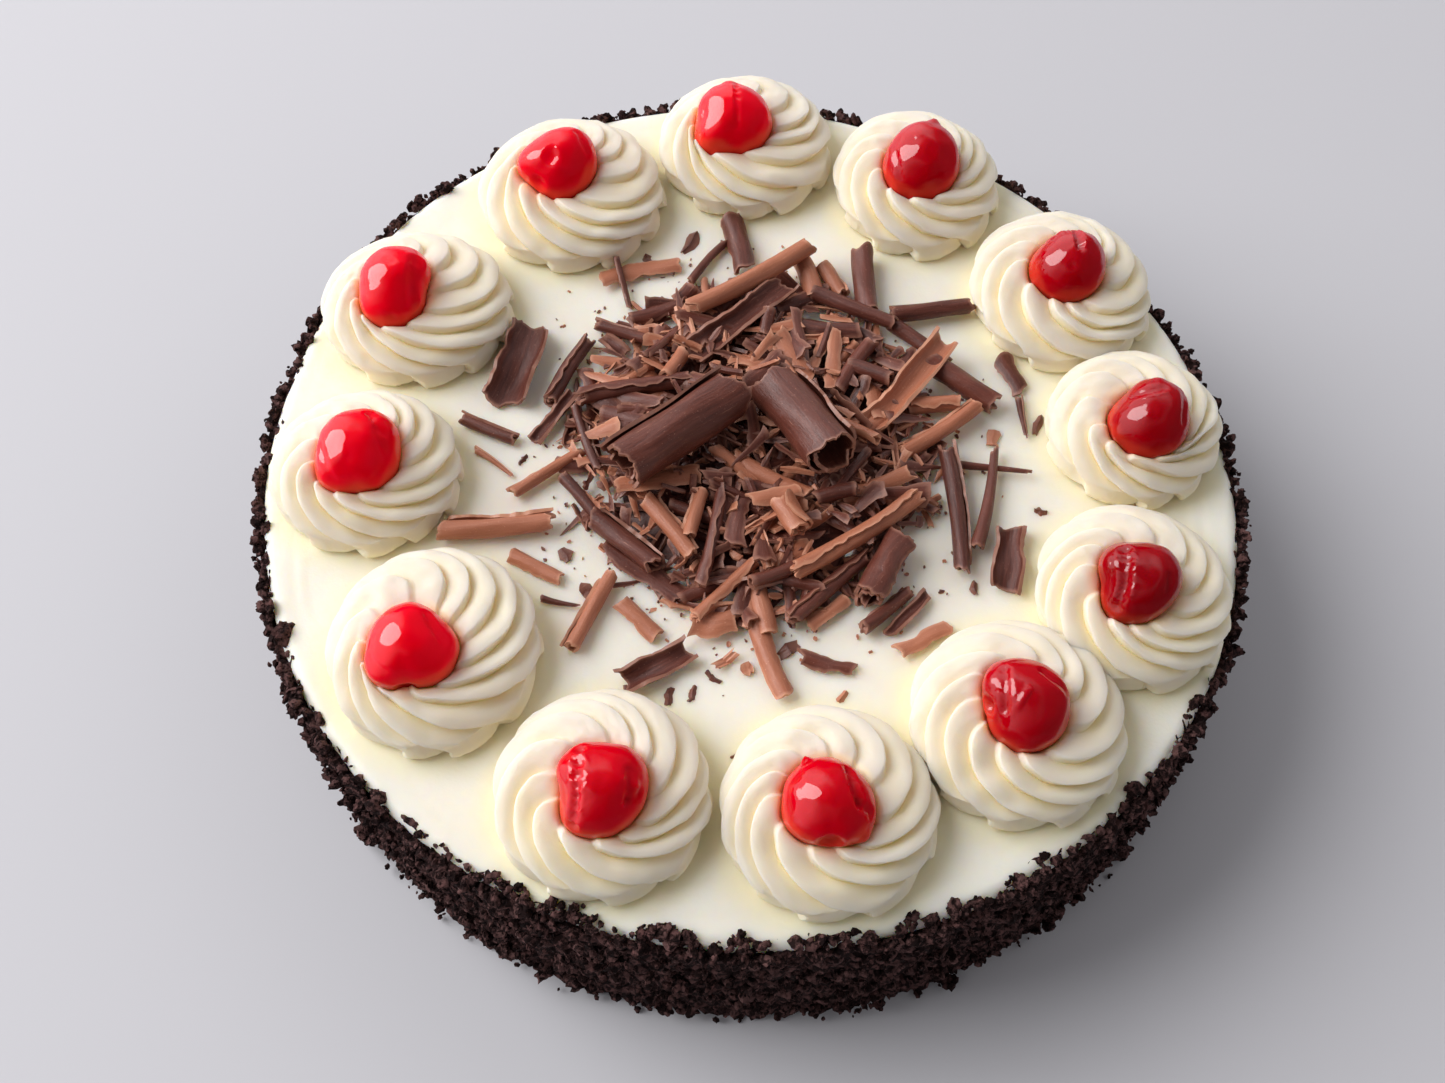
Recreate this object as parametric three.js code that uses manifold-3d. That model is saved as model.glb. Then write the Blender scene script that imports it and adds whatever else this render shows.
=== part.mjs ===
// Black forest cake: a round cake under smooth cream, dark sponge crumbs pressed round its side,
// twelve piped cream rosettes with a glace cherry in each, and a heap of chocolate curls and
// shavings in the middle. Millimetres, +Z up, origin at the centre of the flat underside.

import * as THREE from 'three';
import Module from 'manifold-3d';
import { ParametricGeometry } from 'three/addons/geometries/ParametricGeometry.js';
import { mergeVertices } from 'three/addons/utils/BufferGeometryUtils.js';

const wasm = await Module();
wasm.setup();

// Driving dimensions
const CAKE_HEIGHT = 56; // underside to the flat cream top
const CREAM_RADIUS = 121;
const CREAM_LIP = 3; // rounding of the cream's top edge
const CREAM_SIDES = 54;
const COAT_RADIUS = 124.2; // middle of the crumb coat's rough outside, at its top
const COAT_DEPTH = 8; // from the cream's side inwards, before the cream is cut out of the coat
const COAT_FOOT = 0.8; // the coat ends just above what the cake stands on
const FOOT_FLARE = 3.4; // crumbs gather at the foot, which stands out this much further
const COAT_SHOULDER = CAKE_HEIGHT - 2.5; // height at which the coat turns in over the lip
const COAT_OVERLAP = 2; // how far the crumbs reach over the cream's edge
const COAT_COLUMNS = 64;
const COAT_ROWS = 6;
const CRUMB_RELIEF = 2; // how far crumbs stand out or lie back
const GAP = 0.3; // between pieces that touch

const ROSETTE_RADIUS = 25; // of the common form, which each rosette stretches to its own half widths
const ROSETTE_HEIGHT = 13;
const ROSETTE_RIDGES = 11;
const ROSETTE_SWEEP = 1.8; // radians that a ridge winds from the cherry to the foot
const SWEEP_BEND = 1.4; // above 1, a ridge leaves the cherry straighter than it reaches the foot
const ROSETTE_TURN = 0.37; // radians between the first ridges of neighbouring rosettes
const ROSETTE_ROWS = 6;
const CREST_RADIUS = 12.4; // circle of the highest cream, round the cherry
const WIDEST_HEIGHT = 4.2;
const RIDGE_DEPTH = 2.1;
const FOOT_DEPTH_SHARE = 0.35; // of that depth, left at the foot
const VALLEY_INWARDS = 0.8; // share of a valley's depth that is cut towards the middle
const VALLEY_DOWN = 0.6; // share that is cut downwards

const CHERRY_RADIUS = 10.6;
const CHERRY_RISE = 12.8; // cherry's centre above the cream top
const CHERRY_DENTS = 4;
const SEAT_RADIUS = 11.7; // hollow in the rosette that holds the cherry
const SEAT_TILTS = [0.62, 1.24]; // radians from its lowest point to the rings of its surface

const HEAP_CENTRE = { x: 2, y: 7 };
const HEAP_REACH = { x: 48, y: 51 };
const HEAP_HEIGHT = 7.5;
const HEAP_BITS = 8;
const SHEET = 1; // thickness of a chocolate shaving
const RAGGED_SHARE = 0.05; // of a shaving's length, by which its ends are uneven
const ROOM_MARGIN = 1.14; // of the room kept free round a curl, for its ragged ends and facets
const FLAKE_DEPTH = 1.6; // of the small flakes on the cream
const MERGE_DISTANCE = 1e-4;

// Hand-made roundness error of the cake, in millimetres at an angle
function outOfRound(angle) {
  const oval = 0.7 * Math.cos(2 * angle) - 1.8 * Math.sin(2 * angle);
  const threeSided = 0.8 * Math.cos(3 * angle) - 0.6 * Math.sin(3 * angle);
  return oval + threeSided;
}

function seededRandom(seed) {
  let state = seed;
  return () => {
    state = (state + 0x6d2b79f5) | 0;
    let mixed = Math.imul(state ^ (state >>> 15), 1 | state);
    mixed = (mixed + Math.imul(mixed ^ (mixed >>> 7), 61 | mixed)) ^ mixed;
    return ((mixed ^ (mixed >>> 14)) >>> 0) / 4294967296;
  };
}

function signedVolume(points, triangles) {
  const a = new THREE.Vector3();
  const b = new THREE.Vector3();
  const c = new THREE.Vector3();
  let volume = 0;
  for (let i = 0; i < triangles.length; i += 3) {
    a.fromBufferAttribute(points, triangles[i]);
    b.fromBufferAttribute(points, triangles[i + 1]);
    c.fromBufferAttribute(points, triangles[i + 2]);
    volume += a.dot(b.cross(c)) / 6;
  }
  return volume;
}

// A closed three.js geometry as a solid; reshape moves each of its points
function toSolid(geometry, reshape = () => {}) {
  geometry.deleteAttribute('normal');
  geometry.deleteAttribute('uv');
  const merged = mergeVertices(geometry, MERGE_DISTANCE);
  const points = merged.getAttribute('position');
  const corners = merged.index.array;
  const triangles = [];
  for (let i = 0; i < corners.length; i += 3) {
    const [a, b, c] = corners.slice(i, i + 3);
    if (a !== b && b !== c && c !== a) {
      triangles.push(a, b, c);
    }
  }
  const point = new THREE.Vector3();
  for (let i = 0; i < points.count; i += 1) {
    point.fromBufferAttribute(points, i);
    reshape(point);
    points.setXYZ(i, point.x, point.y, point.z);
  }
  if (signedVolume(points, triangles) < 0) {
    triangles.reverse();
  }
  const mesh = new wasm.Mesh({
    numProp: 3,
    vertProperties: new Float32Array(points.array),
    triVerts: new Uint32Array(triangles),
  });
  return new wasm.Manifold(mesh);
}

// The one body that matters: loose scraps and sealed hollows are left out
function mainBody(solid) {
  const bodies = solid.decompose();
  return bodies.reduce((best, body) => (body.volume() > best.volume() ? body : best));
}

const group = new THREE.Group();

function addMesh(name, solid, material) {
  const { vertProperties, triVerts } = solid.getMesh();
  const geometry = new THREE.BufferGeometry();
  geometry.setAttribute('position', new THREE.BufferAttribute(vertProperties, 3));
  geometry.setIndex(new THREE.BufferAttribute(triVerts, 1));
  geometry.computeVertexNormals();
  const mesh = new THREE.Mesh(geometry, material);
  mesh.name = name;
  group.add(mesh);
}

function lathe(profile, sides) {
  const points = profile.map(([radius, height]) => new THREE.Vector2(radius, height));
  return new THREE.LatheGeometry(points, sides).rotateX(Math.PI / 2);
}

const creamMaterial = () => new THREE.MeshStandardMaterial({ color: 0xf6efd8, roughness: 0.55 });
const crumbMaterial = () => new THREE.MeshStandardMaterial({ color: 0x2b1b18, roughness: 0.95 });
const cherryMaterial = () => new THREE.MeshStandardMaterial({ color: 0xb80f17, roughness: 0.12 });
const darkChocolate = () => new THREE.MeshStandardMaterial({ color: 0x4a2c26, roughness: 0.5 });
const milkChocolate = () => new THREE.MeshStandardMaterial({ color: 0x8f5a40, roughness: 0.5 });

// ---- Cake under cream ----

function stretchOutOfRound(point) {
  const radius = Math.hypot(point.x, point.y);
  if (radius > 0) {
    const angle = Math.atan2(point.y, point.x);
    const scale = 1 + outOfRound(angle) / CREAM_RADIUS;
    point.x *= scale;
    point.y *= scale;
  }
}

function creamBody(clearance) {
  const radius = CREAM_RADIUS + clearance;
  const top = CAKE_HEIGHT + clearance;
  const profile = [
    [0, -clearance],
    [radius, -clearance],
    [radius, top - CREAM_LIP],
    [radius - 0.3 * CREAM_LIP, top - 0.3 * CREAM_LIP],
    [radius - CREAM_LIP, top],
    [0, top],
  ];
  return toSolid(lathe(profile, CREAM_SIDES), stretchOutOfRound);
}

// Small flakes scattered on the cream: x, y, length, width
const FLAKES = [
  [-14, 71, 8, 4],
  [-26, 65, 3, 3],
  [-8, -57, 4, 4],
  [-18, -62, 4, 6],
  [-13, -61, 4, 4],
  [-5, -53, 2, 6],
  [0, -55, 3, 3],
  [10, -50, 3, 6],
  [-44, -25, 4, 3],
  [-38, -35, 3, 4],
  [73, -13, 3, 3],
  [63, 8, 4, 3],
  [75, 12, 5, 2],
  [55, -34, 4, 2],
  [22, -62, 3, 2],
  [-56, 2, 3, 3],
];

function flake([x, y, length, width], random) {
  const geometry = new THREE.CylinderGeometry(0.5, 0.42, FLAKE_DEPTH, 4).rotateX(Math.PI / 2);
  const turn = random() * Math.PI;
  return toSolid(geometry, (point) => {
    point.x *= length;
    point.y *= width;
    point.applyAxisAngle(new THREE.Vector3(0, 0, 1), turn);
    point.x += x;
    point.y += y;
    point.z += CAKE_HEIGHT + 0.3 * FLAKE_DEPTH;
  });
}

// ---- Rosettes ----

// centre x and y, half widths along x and y, cherry off the centre by x and y
const ROSETTES = [
  { x: 1, y: 102, rx: 25, ry: 24, cherry: [-3.6, 0.8] },
  { x: -47, y: 85, rx: 26, ry: 25.5, cherry: [-3.2, 1.7] },
  { x: -86, y: 46.5, rx: 26, ry: 23.5, cherry: [-3.4, -0.8] },
  { x: -94, y: -3, rx: 24.5, ry: 22.5, cherry: [0, -0.6] },
  { x: -73, y: -51, rx: 25.5, ry: 26, cherry: [-3.2, -3.4] },
  { x: -32.5, y: -86, rx: 25, ry: 24.5, cherry: [0.7, -2.2] },
  { x: 17.5, y: -90, rx: 25, ry: 24.5, cherry: [-0.7, -0.9] },
  { x: 61, y: -69.5, rx: 25.5, ry: 25, cherry: [0.5, 0.4] },
  { x: 91.5, y: -38, rx: 24, ry: 24, cherry: [-0.7, -1.1] },
  { x: 98, y: 9, rx: 22.5, ry: 22, cherry: [0.6, -3.6] },
  { x: 84, y: 51.5, rx: 24.5, ry: 25, cherry: [0.2, 0.5] },
  { x: 48, y: 88.5, rx: 23.5, ry: 24.5, cherry: [0.4, -1.4] },
];

// Rows of points from the cherry's seat, over the crest and down the outside to the foot.
// spread is 0 round the cherry and 1 at the foot; groove is how deep the valleys are.
function rosetteRows() {
  const rows = [{ radius: 0, height: CHERRY_RISE - SEAT_RADIUS, spread: 0, groove: 0 }];
  for (const tilt of SEAT_TILTS) {
    rows.push({
      radius: SEAT_RADIUS * Math.sin(tilt),
      height: CHERRY_RISE - SEAT_RADIUS * Math.cos(tilt),
      spread: 0,
      groove: 0,
    });
  }
  const footAngle = Math.PI / 2 + Math.asin(WIDEST_HEIGHT / (ROSETTE_HEIGHT - WIDEST_HEIGHT));
  for (let row = 0; row < ROSETTE_ROWS; row += 1) {
    const spread = row / (ROSETTE_ROWS - 1);
    const angle = footAngle * spread;
    const middle = Math.sin(Math.PI * Math.min(1, 0.25 + spread));
    rows.push({
      radius: CREST_RADIUS + (ROSETTE_RADIUS - CREST_RADIUS) * Math.sin(angle),
      height: WIDEST_HEIGHT + (ROSETTE_HEIGHT - WIDEST_HEIGHT) * Math.cos(angle),
      spread,
      groove: RIDGE_DEPTH * (FOOT_DEPTH_SHARE + (1 - FOOT_DEPTH_SHARE) * middle),
    });
  }
  rows.push({ radius: 0, height: 0, spread: 1, groove: 0 });
  return rows;
}

function rosetteBody({ x, y, rx, ry, cherry }, number, clearance) {
  const rows = rosetteRows();
  const columns = 2 * ROSETTE_RIDGES;
  const start = number * ROSETTE_TURN;
  const place = (u, v, target) => {
    const rowNumber = Math.round(v * (rows.length - 1));
    const { radius, height, spread, groove } = rows[rowNumber];
    const column = Math.round(u * columns) % columns;
    const valley = column % 2 === 1 ? groove : 0;
    const angle = start + (2 * Math.PI * column) / columns + ROSETTE_SWEEP * spread ** SWEEP_BEND;
    const settled = Math.min(1, 2 * spread);
    const reach = Math.max(0, radius - VALLEY_INWARDS * valley);
    const wide = 1 + settled * ((rx + clearance) / ROSETTE_RADIUS - 1);
    const deep = 1 + settled * ((ry + clearance) / ROSETTE_RADIUS - 1);
    const lowered = Math.max(0, height - VALLEY_DOWN * valley);
    target.set(
      x + cherry[0] * (1 - settled) + reach * wide * Math.cos(angle),
      y + cherry[1] * (1 - settled) + reach * deep * Math.sin(angle),
      CAKE_HEIGHT + GAP + lowered * (1 + clearance / ROSETTE_HEIGHT),
    );
  };
  return toSolid(new ParametricGeometry(place, columns, rows.length - 1));
}

// Plain outer form of a rosette with its clearance, to cut what lies against it
function rosetteRoom({ x, y, rx, ry }) {
  const height = ROSETTE_HEIGHT + 1;
  const geometry = new THREE.CylinderGeometry(1, 1, height, 16).rotateX(Math.PI / 2);
  return toSolid(geometry, (point) => {
    point.x = x + point.x * (rx + 2 * GAP);
    point.y = y + point.y * (ry + 2 * GAP);
    point.z += CAKE_HEIGHT + height / 2;
  });
}

// ---- Cherries ----

// A dent in the upper part of a cherry: depth as a share of the radius, width in radians
function cherryDent(random) {
  const direction = new THREE.Vector3(random() - 0.5, random() - 0.5, 0.9 * random() - 0.2);
  return {
    direction: direction.normalize(),
    depth: 0.05 + 0.09 * random(),
    width: 0.35 + 0.3 * random(),
  };
}

function cherryBody({ x, y, cherry }, number) {
  const random = seededRandom(100 + number);
  const dents = [];
  for (let i = 0; i < CHERRY_DENTS; i += 1) {
    dents.push(cherryDent(random));
  }
  const geometry = new THREE.SphereGeometry(CHERRY_RADIUS, 10, 6).rotateX(Math.PI / 2);
  return toSolid(geometry, (point) => {
    const outward = point.clone().normalize();
    let scale = 1;
    for (const { direction, depth, width } of dents) {
      scale -= depth * Math.exp(-((outward.angleTo(direction) / width) ** 2));
    }
    point.multiplyScalar(scale);
    point.x += x + cherry[0];
    point.y += y + cherry[1];
    point.z += CAKE_HEIGHT + GAP + CHERRY_RISE;
  });
}

// ---- Crumb coat ----

function crumbCoat() {
  const random = seededRandom(7);
  const backRadius = CREAM_RADIUS - COAT_DEPTH;
  const profile = [
    [backRadius, COAT_FOOT],
    [COAT_RADIUS + FOOT_FLARE - 0.5 * CRUMB_RELIEF, COAT_FOOT],
  ];
  for (let row = 1; row <= COAT_ROWS; row += 1) {
    const climb = row / COAT_ROWS;
    const flare = FOOT_FLARE * (1 - climb) ** 1.5;
    profile.push([COAT_RADIUS + flare, COAT_FOOT + (COAT_SHOULDER - COAT_FOOT) * climb]);
  }
  profile.push([CREAM_RADIUS + 1, CAKE_HEIGHT + 0.2]);
  profile.push([CREAM_RADIUS - COAT_OVERLAP, CAKE_HEIGHT]);
  profile.push([backRadius, CAKE_HEIGHT - 0.75 * COAT_DEPTH]);
  profile.push([backRadius, COAT_FOOT]);
  const rough = toSolid(lathe(profile, COAT_COLUMNS), (point) => {
    stretchOutOfRound(point);
    if (Math.hypot(point.x, point.y) > CREAM_RADIUS - 0.75 * COAT_DEPTH) {
      const swing = ((random() - 0.5) * 2 * Math.PI) / COAT_COLUMNS / 1.6;
      const reach = 1 + ((random() - 0.55) * 2 * CRUMB_RELIEF) / COAT_RADIUS;
      point.applyAxisAngle(new THREE.Vector3(0, 0, 1), swing);
      point.x *= reach;
      point.y *= reach;
      if (point.z > COAT_FOOT + 1) {
        point.z += (random() - 0.5) * 2 * CRUMB_RELIEF;
      }
    }
  });
  let coat = rough.subtract(creamBody(GAP));
  for (const rosette of ROSETTES) {
    coat = coat.subtract(rosetteRoom(rosette));
  }
  return mainBody(coat);
}

// ---- Chocolate curls and shavings ----

// How a shaving of each kind is rolled: turn in degrees, and whether it lies open side up
const KINDS = {
  roll: { turn: 420, openUp: false, taper: 0 },
  tube: { turn: 320, openUp: false, taper: 0 },
  rod: { turn: 360, openUp: false, taper: 0.1 },
  cone: { turn: 300, openUp: false, taper: 0.5 },
  scoop: { turn: 150, openUp: true, taper: 0.1 },
  half: { turn: 150, openUp: false, taper: 0.05 },
  flake: { turn: 70, openUp: false, taper: 0.15 },
};
const SECTION_STEP = 52; // degrees between the corners of a rolled section

// kind, x, y, lowest point of its middle above the cream, heading in degrees, length, width; a single
// curl also has the slope of its far end upwards in degrees, and its kind of chocolate
const BIG_CURLS = {
  curl_left: ['roll', -16.5, 3, 7, 38, 34, 14.5, 0, 'dark'],
  curl_right: ['roll', 15, 5, 6.5, -60, 28, 15, 13, 'dark'],
};

const LOOSE_CURLS = [
  ['flake', 69.5, 27, GAP, -67, 11, 5, 0, 'dark'],
  ['cone', 71, 13.5, GAP, -86, 11, 2.4, 0, 'dark'],
  ['scoop', 63.5, -26.5, GAP, 81, 17, 8, 0, 'dark'],
  ['flake', 42, -48, GAP, 28, 14, 4.5, 0, 'milk'],
  ['tube', -61, -18.5, GAP, 5, 26, 6.5, 0, 'milk'],
  ['tube', -65, 10, GAP, -25, 16, 4, 0, 'dark'],
  ['cone', -63, 1, GAP, -38, 13, 2.2, 0, 'milk'],
  ['scoop', -58, 30, GAP, 75, 24, 11.5, 0, 'dark'],
  ['flake', -28, 60, GAP, 15, 21, 6, 0, 'milk'],
  ['scoop', -21, -55, GAP, 28, 17, 7, 0, 'dark'],
  ['tube', -37, -40.5, GAP, 65, 20, 5, 0, 'milk'],
  ['half', -25.5, -42.5, GAP, -45, 12, 4.5, 0, 'milk'],
  ['cone', -45, -38, GAP, -13, 9, 2.2, 0, 'dark'],
  ['half', -51, -28.5, GAP, -29, 15, 4, 0, 'milk'],
  ['flake', 18.5, -54, GAP, -16, 13, 4, 0, 'dark'],
  ['rod', -32.2, 55.4, 1.85, -75, 14, 2.2, -12, 'dark'],
];

const HEAP_SHAVINGS = [
  ['tube', 2.5, 53, 4.2, 31, 35, 6.6],
  ['scoop', -0.5, 41, 4, 41, 32, 8.3],
  ['half', -1, 69, 0, -78, 18, 6.5],
  ['rod', -10, 63, 0, 56, 16, 3],
  ['tube', 32.5, 55, 0, -88, 21, 6.8],
  ['tube', 18, 57, 0, -74, 12, 6.2],
  ['rod', 24, 56, 0, -63, 11, 5.2],
  ['rod', 29, 46, 1.5, -28, 22, 5],
  ['rod', 50, 46, 0, 9, 21, 5.6],
  ['scoop', 42.5, 20.5, 4, 51, 31, 8],
  ['tube', 56, 23, 0, -37, 19, 6.5],
  ['rod', 50, 8.5, 1, 34, 23, 5.4],
  ['half', 32, -8.5, 3.5, 21, 19, 4.7],
  ['rod', 27.5, -23, 3.5, 34, 36, 5.6],
  ['rod', 52, -13, 0, -87, 33, 5.8],
  ['cone', 60, -11, 0, 76, 28, 4.5],
  ['cone', 62, -1.5, 0, -8, 17, 2.6],
  ['roll', 33, -31, 0, 62, 19, 9],
  ['rod', 20, -35, 0.5, 42, 25, 5],
  ['rod', 33, -41, 0, 40, 15, 4.5],
  ['roll', 10.5, -19, 5.5, -62, 9, 7.6],
  ['flake', 7, -13, 7, 15, 13, 4.2],
  ['half', 5.5, -7, 5.6, -32, 21, 4.7],
  ['rod', -18.5, -20, 3.4, -54, 18, 5.6],
  ['rod', -12.5, -17, 4.3, 75, 13, 4.6],
  ['rod', -7.5, -21.5, 4.2, 79, 27, 3.8],
  ['flake', -2, -18, 5, 80, 15, 4.6],
  ['rod', -40.5, -10, 0.3, -51, 14, 3.8],
  ['tube', -29.5, -23, 1, -41, 20, 7],
  ['flake', -25, -30, 0, -34, 22, 6],
  ['rod', -49.5, -2.5, 0, 36, 20, 3.8],
  ['rod', -45.5, 27.5, 0, 64, 20, 5],
  ['flake', -33, 29.5, 1.6, -9, 13, 3.2],
  ['rod', -28, 20, 3, 11, 27, 5.4],
  ['scoop', -48.5, 14, 0, 56, 17, 4.4],
  ['rod', -40.5, 7.5, 1, -71, 20, 3.4],
  ['half', -22.5, 46, 0.5, 18, 16, 4.5],
  ['rod', -31, 39, 0.5, -21, 17, 4],
  ['flake', 12.5, 29, 5.5, -57, 16, 5.5],
  ['flake', 23, 28, 4.8, 85, 19, 3.8],
  ['rod', 48, 16, 0.6, 5, 13, 5.4],
  ['rod', -5.5, -36.5, 1.6, 45, 21, 4],
  ['flake', -8, -44, 0.4, 5, 11, 8],
  ['half', 3.5, -39, 1, -78, 16, 5],
  ['half', 5, -53, 0, -72, 21, 5],
  ['flake', -21, -7.5, 5, 13, 20, 5.2],
  ['rod', 46, 36, 0, -42, 19, 5],
  ['rod', 4.5, -26, 4, -77, 10, 3],
  ['scoop', 39, -41, 0, 46, 14, 3.4],
];

// A rod is rolled so tightly that its section is full
function rodSection(width) {
  const corners = [];
  for (let corner = 0; corner < 6; corner += 1) {
    const angle = (corner * Math.PI) / 3;
    corners.push(new THREE.Vector2((width / 2) * Math.cos(angle), (width / 2) * Math.sin(angle)));
  }
  return new THREE.Shape(corners);
}

function rolledSection(width, turn) {
  const half = Math.min(turn / 2, Math.PI / 2);
  const radius = width / 2 / Math.sin(half);
  const sheet = Math.min(SHEET, 0.2 * width);
  const wound = turn > 1.5 * Math.PI ? Math.min(sheet + 0.4, 0.35 * radius) : 0;
  const steps = Math.max(3, Math.round(turn / THREE.MathUtils.degToRad(SECTION_STEP)));
  const outside = [];
  const inside = [];
  for (let i = 0; i <= steps; i += 1) {
    const angle = Math.PI / 2 + turn * (0.5 - i / steps);
    const outer = radius - (wound * turn * i) / steps / (2 * Math.PI);
    const inner = outer - sheet;
    outside.push(new THREE.Vector2(outer * Math.cos(angle), outer * Math.sin(angle)));
    inside.unshift(new THREE.Vector2(inner * Math.cos(angle), inner * Math.sin(angle)));
  }
  return new THREE.Shape([...outside, ...inside]);
}

// Sets a piece that lies along X, its lowest point at height 0, in its place on the cake
function placeShaving(point, x, y, lift, heading, rise) {
  point.applyAxisAngle(new THREE.Vector3(0, 1, 0), -THREE.MathUtils.degToRad(rise));
  point.applyAxisAngle(new THREE.Vector3(0, 0, 1), THREE.MathUtils.degToRad(heading));
  point.x += x;
  point.y += y;
  point.z += CAKE_HEIGHT + lift;
}

function shavingBody([kind, x, y, lift, heading, length, width, rise = 0], number) {
  const { turn, openUp, taper } = KINDS[kind];
  const turnAngle = THREE.MathUtils.degToRad(turn);
  const shape = kind === 'rod' ? rodSection(width) : rolledSection(width, turnAngle);
  const heights = shape.getPoints().map((corner) => (openUp ? -corner.y : corner.y));
  const lowest = Math.min(...heights);
  const geometry = new THREE.ExtrudeGeometry(shape, { depth: length, steps: 1, bevelEnabled: false });
  return toSolid(geometry, (point) => {
    const side = openUp ? -1 : 1;
    const ragged = RAGGED_SHARE * length * Math.sin(3 * point.x + 2 * point.y + number);
    const slim = 1 - (taper * point.z) / length;
    const along = point.z - length / 2 + (point.z > length / 2 ? ragged : -ragged);
    const across = side * point.x * slim;
    const up = (side * point.y - lowest) * slim;
    point.set(along, across, up);
    placeShaving(point, x, y, lift, heading, rise);
  });
}

// Room that a rolled curl takes up, with its clearance
function shavingRoom([kind, x, y, lift, heading, length, width, rise]) {
  const height = kind === 'flake' ? 0.4 * width : width;
  const cylinder = new THREE.CylinderGeometry(0.5, 0.5, ROOM_MARGIN * length, 8);
  return toSolid(cylinder.rotateZ(Math.PI / 2), (point) => {
    point.y *= ROOM_MARGIN * (width + 2 * GAP);
    point.z = ROOM_MARGIN * point.z * (height + 2 * GAP) + height / 2;
    placeShaving(point, x, y, lift, heading, rise);
  });
}

function heapHeight(x, y) {
  const reach = Math.hypot((x - HEAP_CENTRE.x) / HEAP_REACH.x, (y - HEAP_CENTRE.y) / HEAP_REACH.y);
  return HEAP_HEIGHT * Math.max(0, 1 - reach ** 2.5);
}

// Low uneven mound of fine shavings under the curls
function heapCore() {
  const random = seededRandom(21);
  const rings = [0.42, 0.76, 1];
  const profile = rings.map((ring) => [ring, 1]);
  const sides = 16;
  return toSolid(lathe([[0, 0], [1, 0], ...profile.reverse(), [0, 1]], sides), (point) => {
    const ring = Math.hypot(point.x, point.y);
    const angle = Math.atan2(point.y, point.x);
    const lobes = 1 + 0.05 * Math.sin(3 * angle + 1) + 0.04 * Math.sin(7 * angle);
    const uneven = ring > 0 ? (0.97 + 0.06 * random()) * lobes : 1;
    const onTop = point.z > 0.5;
    point.x = HEAP_CENTRE.x + point.x * HEAP_REACH.x * uneven;
    point.y = HEAP_CENTRE.y + point.y * HEAP_REACH.y * uneven;
    const bump = onTop ? 1.4 + (random() - 0.5) : 0;
    point.z = CAKE_HEIGHT + GAP + (onTop ? heapHeight(point.x, point.y) - 1 : 0) + bump;
  });
}

// Short splinters strewn over the mound
function heapBit(random) {
  const reach = 0.92 * Math.sqrt(random());
  const angle = 2 * Math.PI * random();
  const x = HEAP_CENTRE.x + reach * HEAP_REACH.x * Math.cos(angle);
  const y = HEAP_CENTRE.y + reach * HEAP_REACH.y * Math.sin(angle);
  const length = 6 + 7 * random();
  const width = 1.6 + 1.8 * random();
  const heading = 360 * random();
  const geometry = new THREE.CylinderGeometry(0.35, 0.5, length, 4).rotateZ(Math.PI / 2);
  const rise = 28 * (random() - 0.5);
  return toSolid(geometry, (point) => {
    point.y *= width;
    point.z *= 1.5;
    placeShaving(point, x, y, heapHeight(x, y) + 0.9, heading, rise);
  });
}

function shavingsHeap() {
  const random = seededRandom(5);
  let heap = heapCore();
  HEAP_SHAVINGS.forEach((shaving, number) => {
    heap = heap.add(shavingBody(shaving, number));
  });
  for (let bit = 0; bit < HEAP_BITS; bit += 1) {
    heap = heap.add(heapBit(random));
  }
  const neighbours = [...Object.values(BIG_CURLS), ...LOOSE_CURLS];
  for (const neighbour of neighbours) {
    heap = heap.subtract(shavingRoom(neighbour));
  }
  for (const rosette of ROSETTES) {
    heap = heap.subtract(rosetteRoom(rosette));
  }
  return mainBody(heap.subtract(creamBody(GAP)));
}

// ---- The cake ----

const flakeRandom = seededRandom(3);
let cream = creamBody(0);
for (const spot of FLAKES) {
  cream = cream.add(flake(spot, flakeRandom));
}
addMesh('cream_cake', cream, creamMaterial());
addMesh('crumb_coat', crumbCoat(), crumbMaterial());

const twoDigits = (number) => String(number).padStart(2, '0');

ROSETTES.forEach((rosette, number) => {
  let body = rosetteBody(rosette, number, 0);
  if (number > 0) {
    body = mainBody(body.subtract(rosetteBody(ROSETTES[number - 1], number - 1, 2 * GAP)));
  }
  addMesh(`rosette_${twoDigits(number + 1)}`, body, creamMaterial());
  addMesh(`cherry_${twoDigits(number + 1)}`, cherryBody(rosette, number), cherryMaterial());
});

addMesh('shavings', shavingsHeap(), darkChocolate());
for (const [name, shaving] of Object.entries(BIG_CURLS)) {
  addMesh(name, shavingBody(shaving, 1), darkChocolate());
}
LOOSE_CURLS.forEach((shaving, number) => {
  const material = shaving.at(-1) === 'dark' ? darkChocolate() : milkChocolate();
  addMesh(`loose_curl_${twoDigits(number + 1)}`, shavingBody(shaving, number), material);
});

export default group;
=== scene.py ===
"""Looks of the black forest cake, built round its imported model.

Lengths are millimetres in the model's own frame: +Z up, origin at the centre of the cake's
underside, -Y towards the viewer. Meshes, the camera and the light are in metres.
"""

import math

import bmesh
import bpy
import numpy as np
from mathutils import Matrix, Vector, noise


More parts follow.
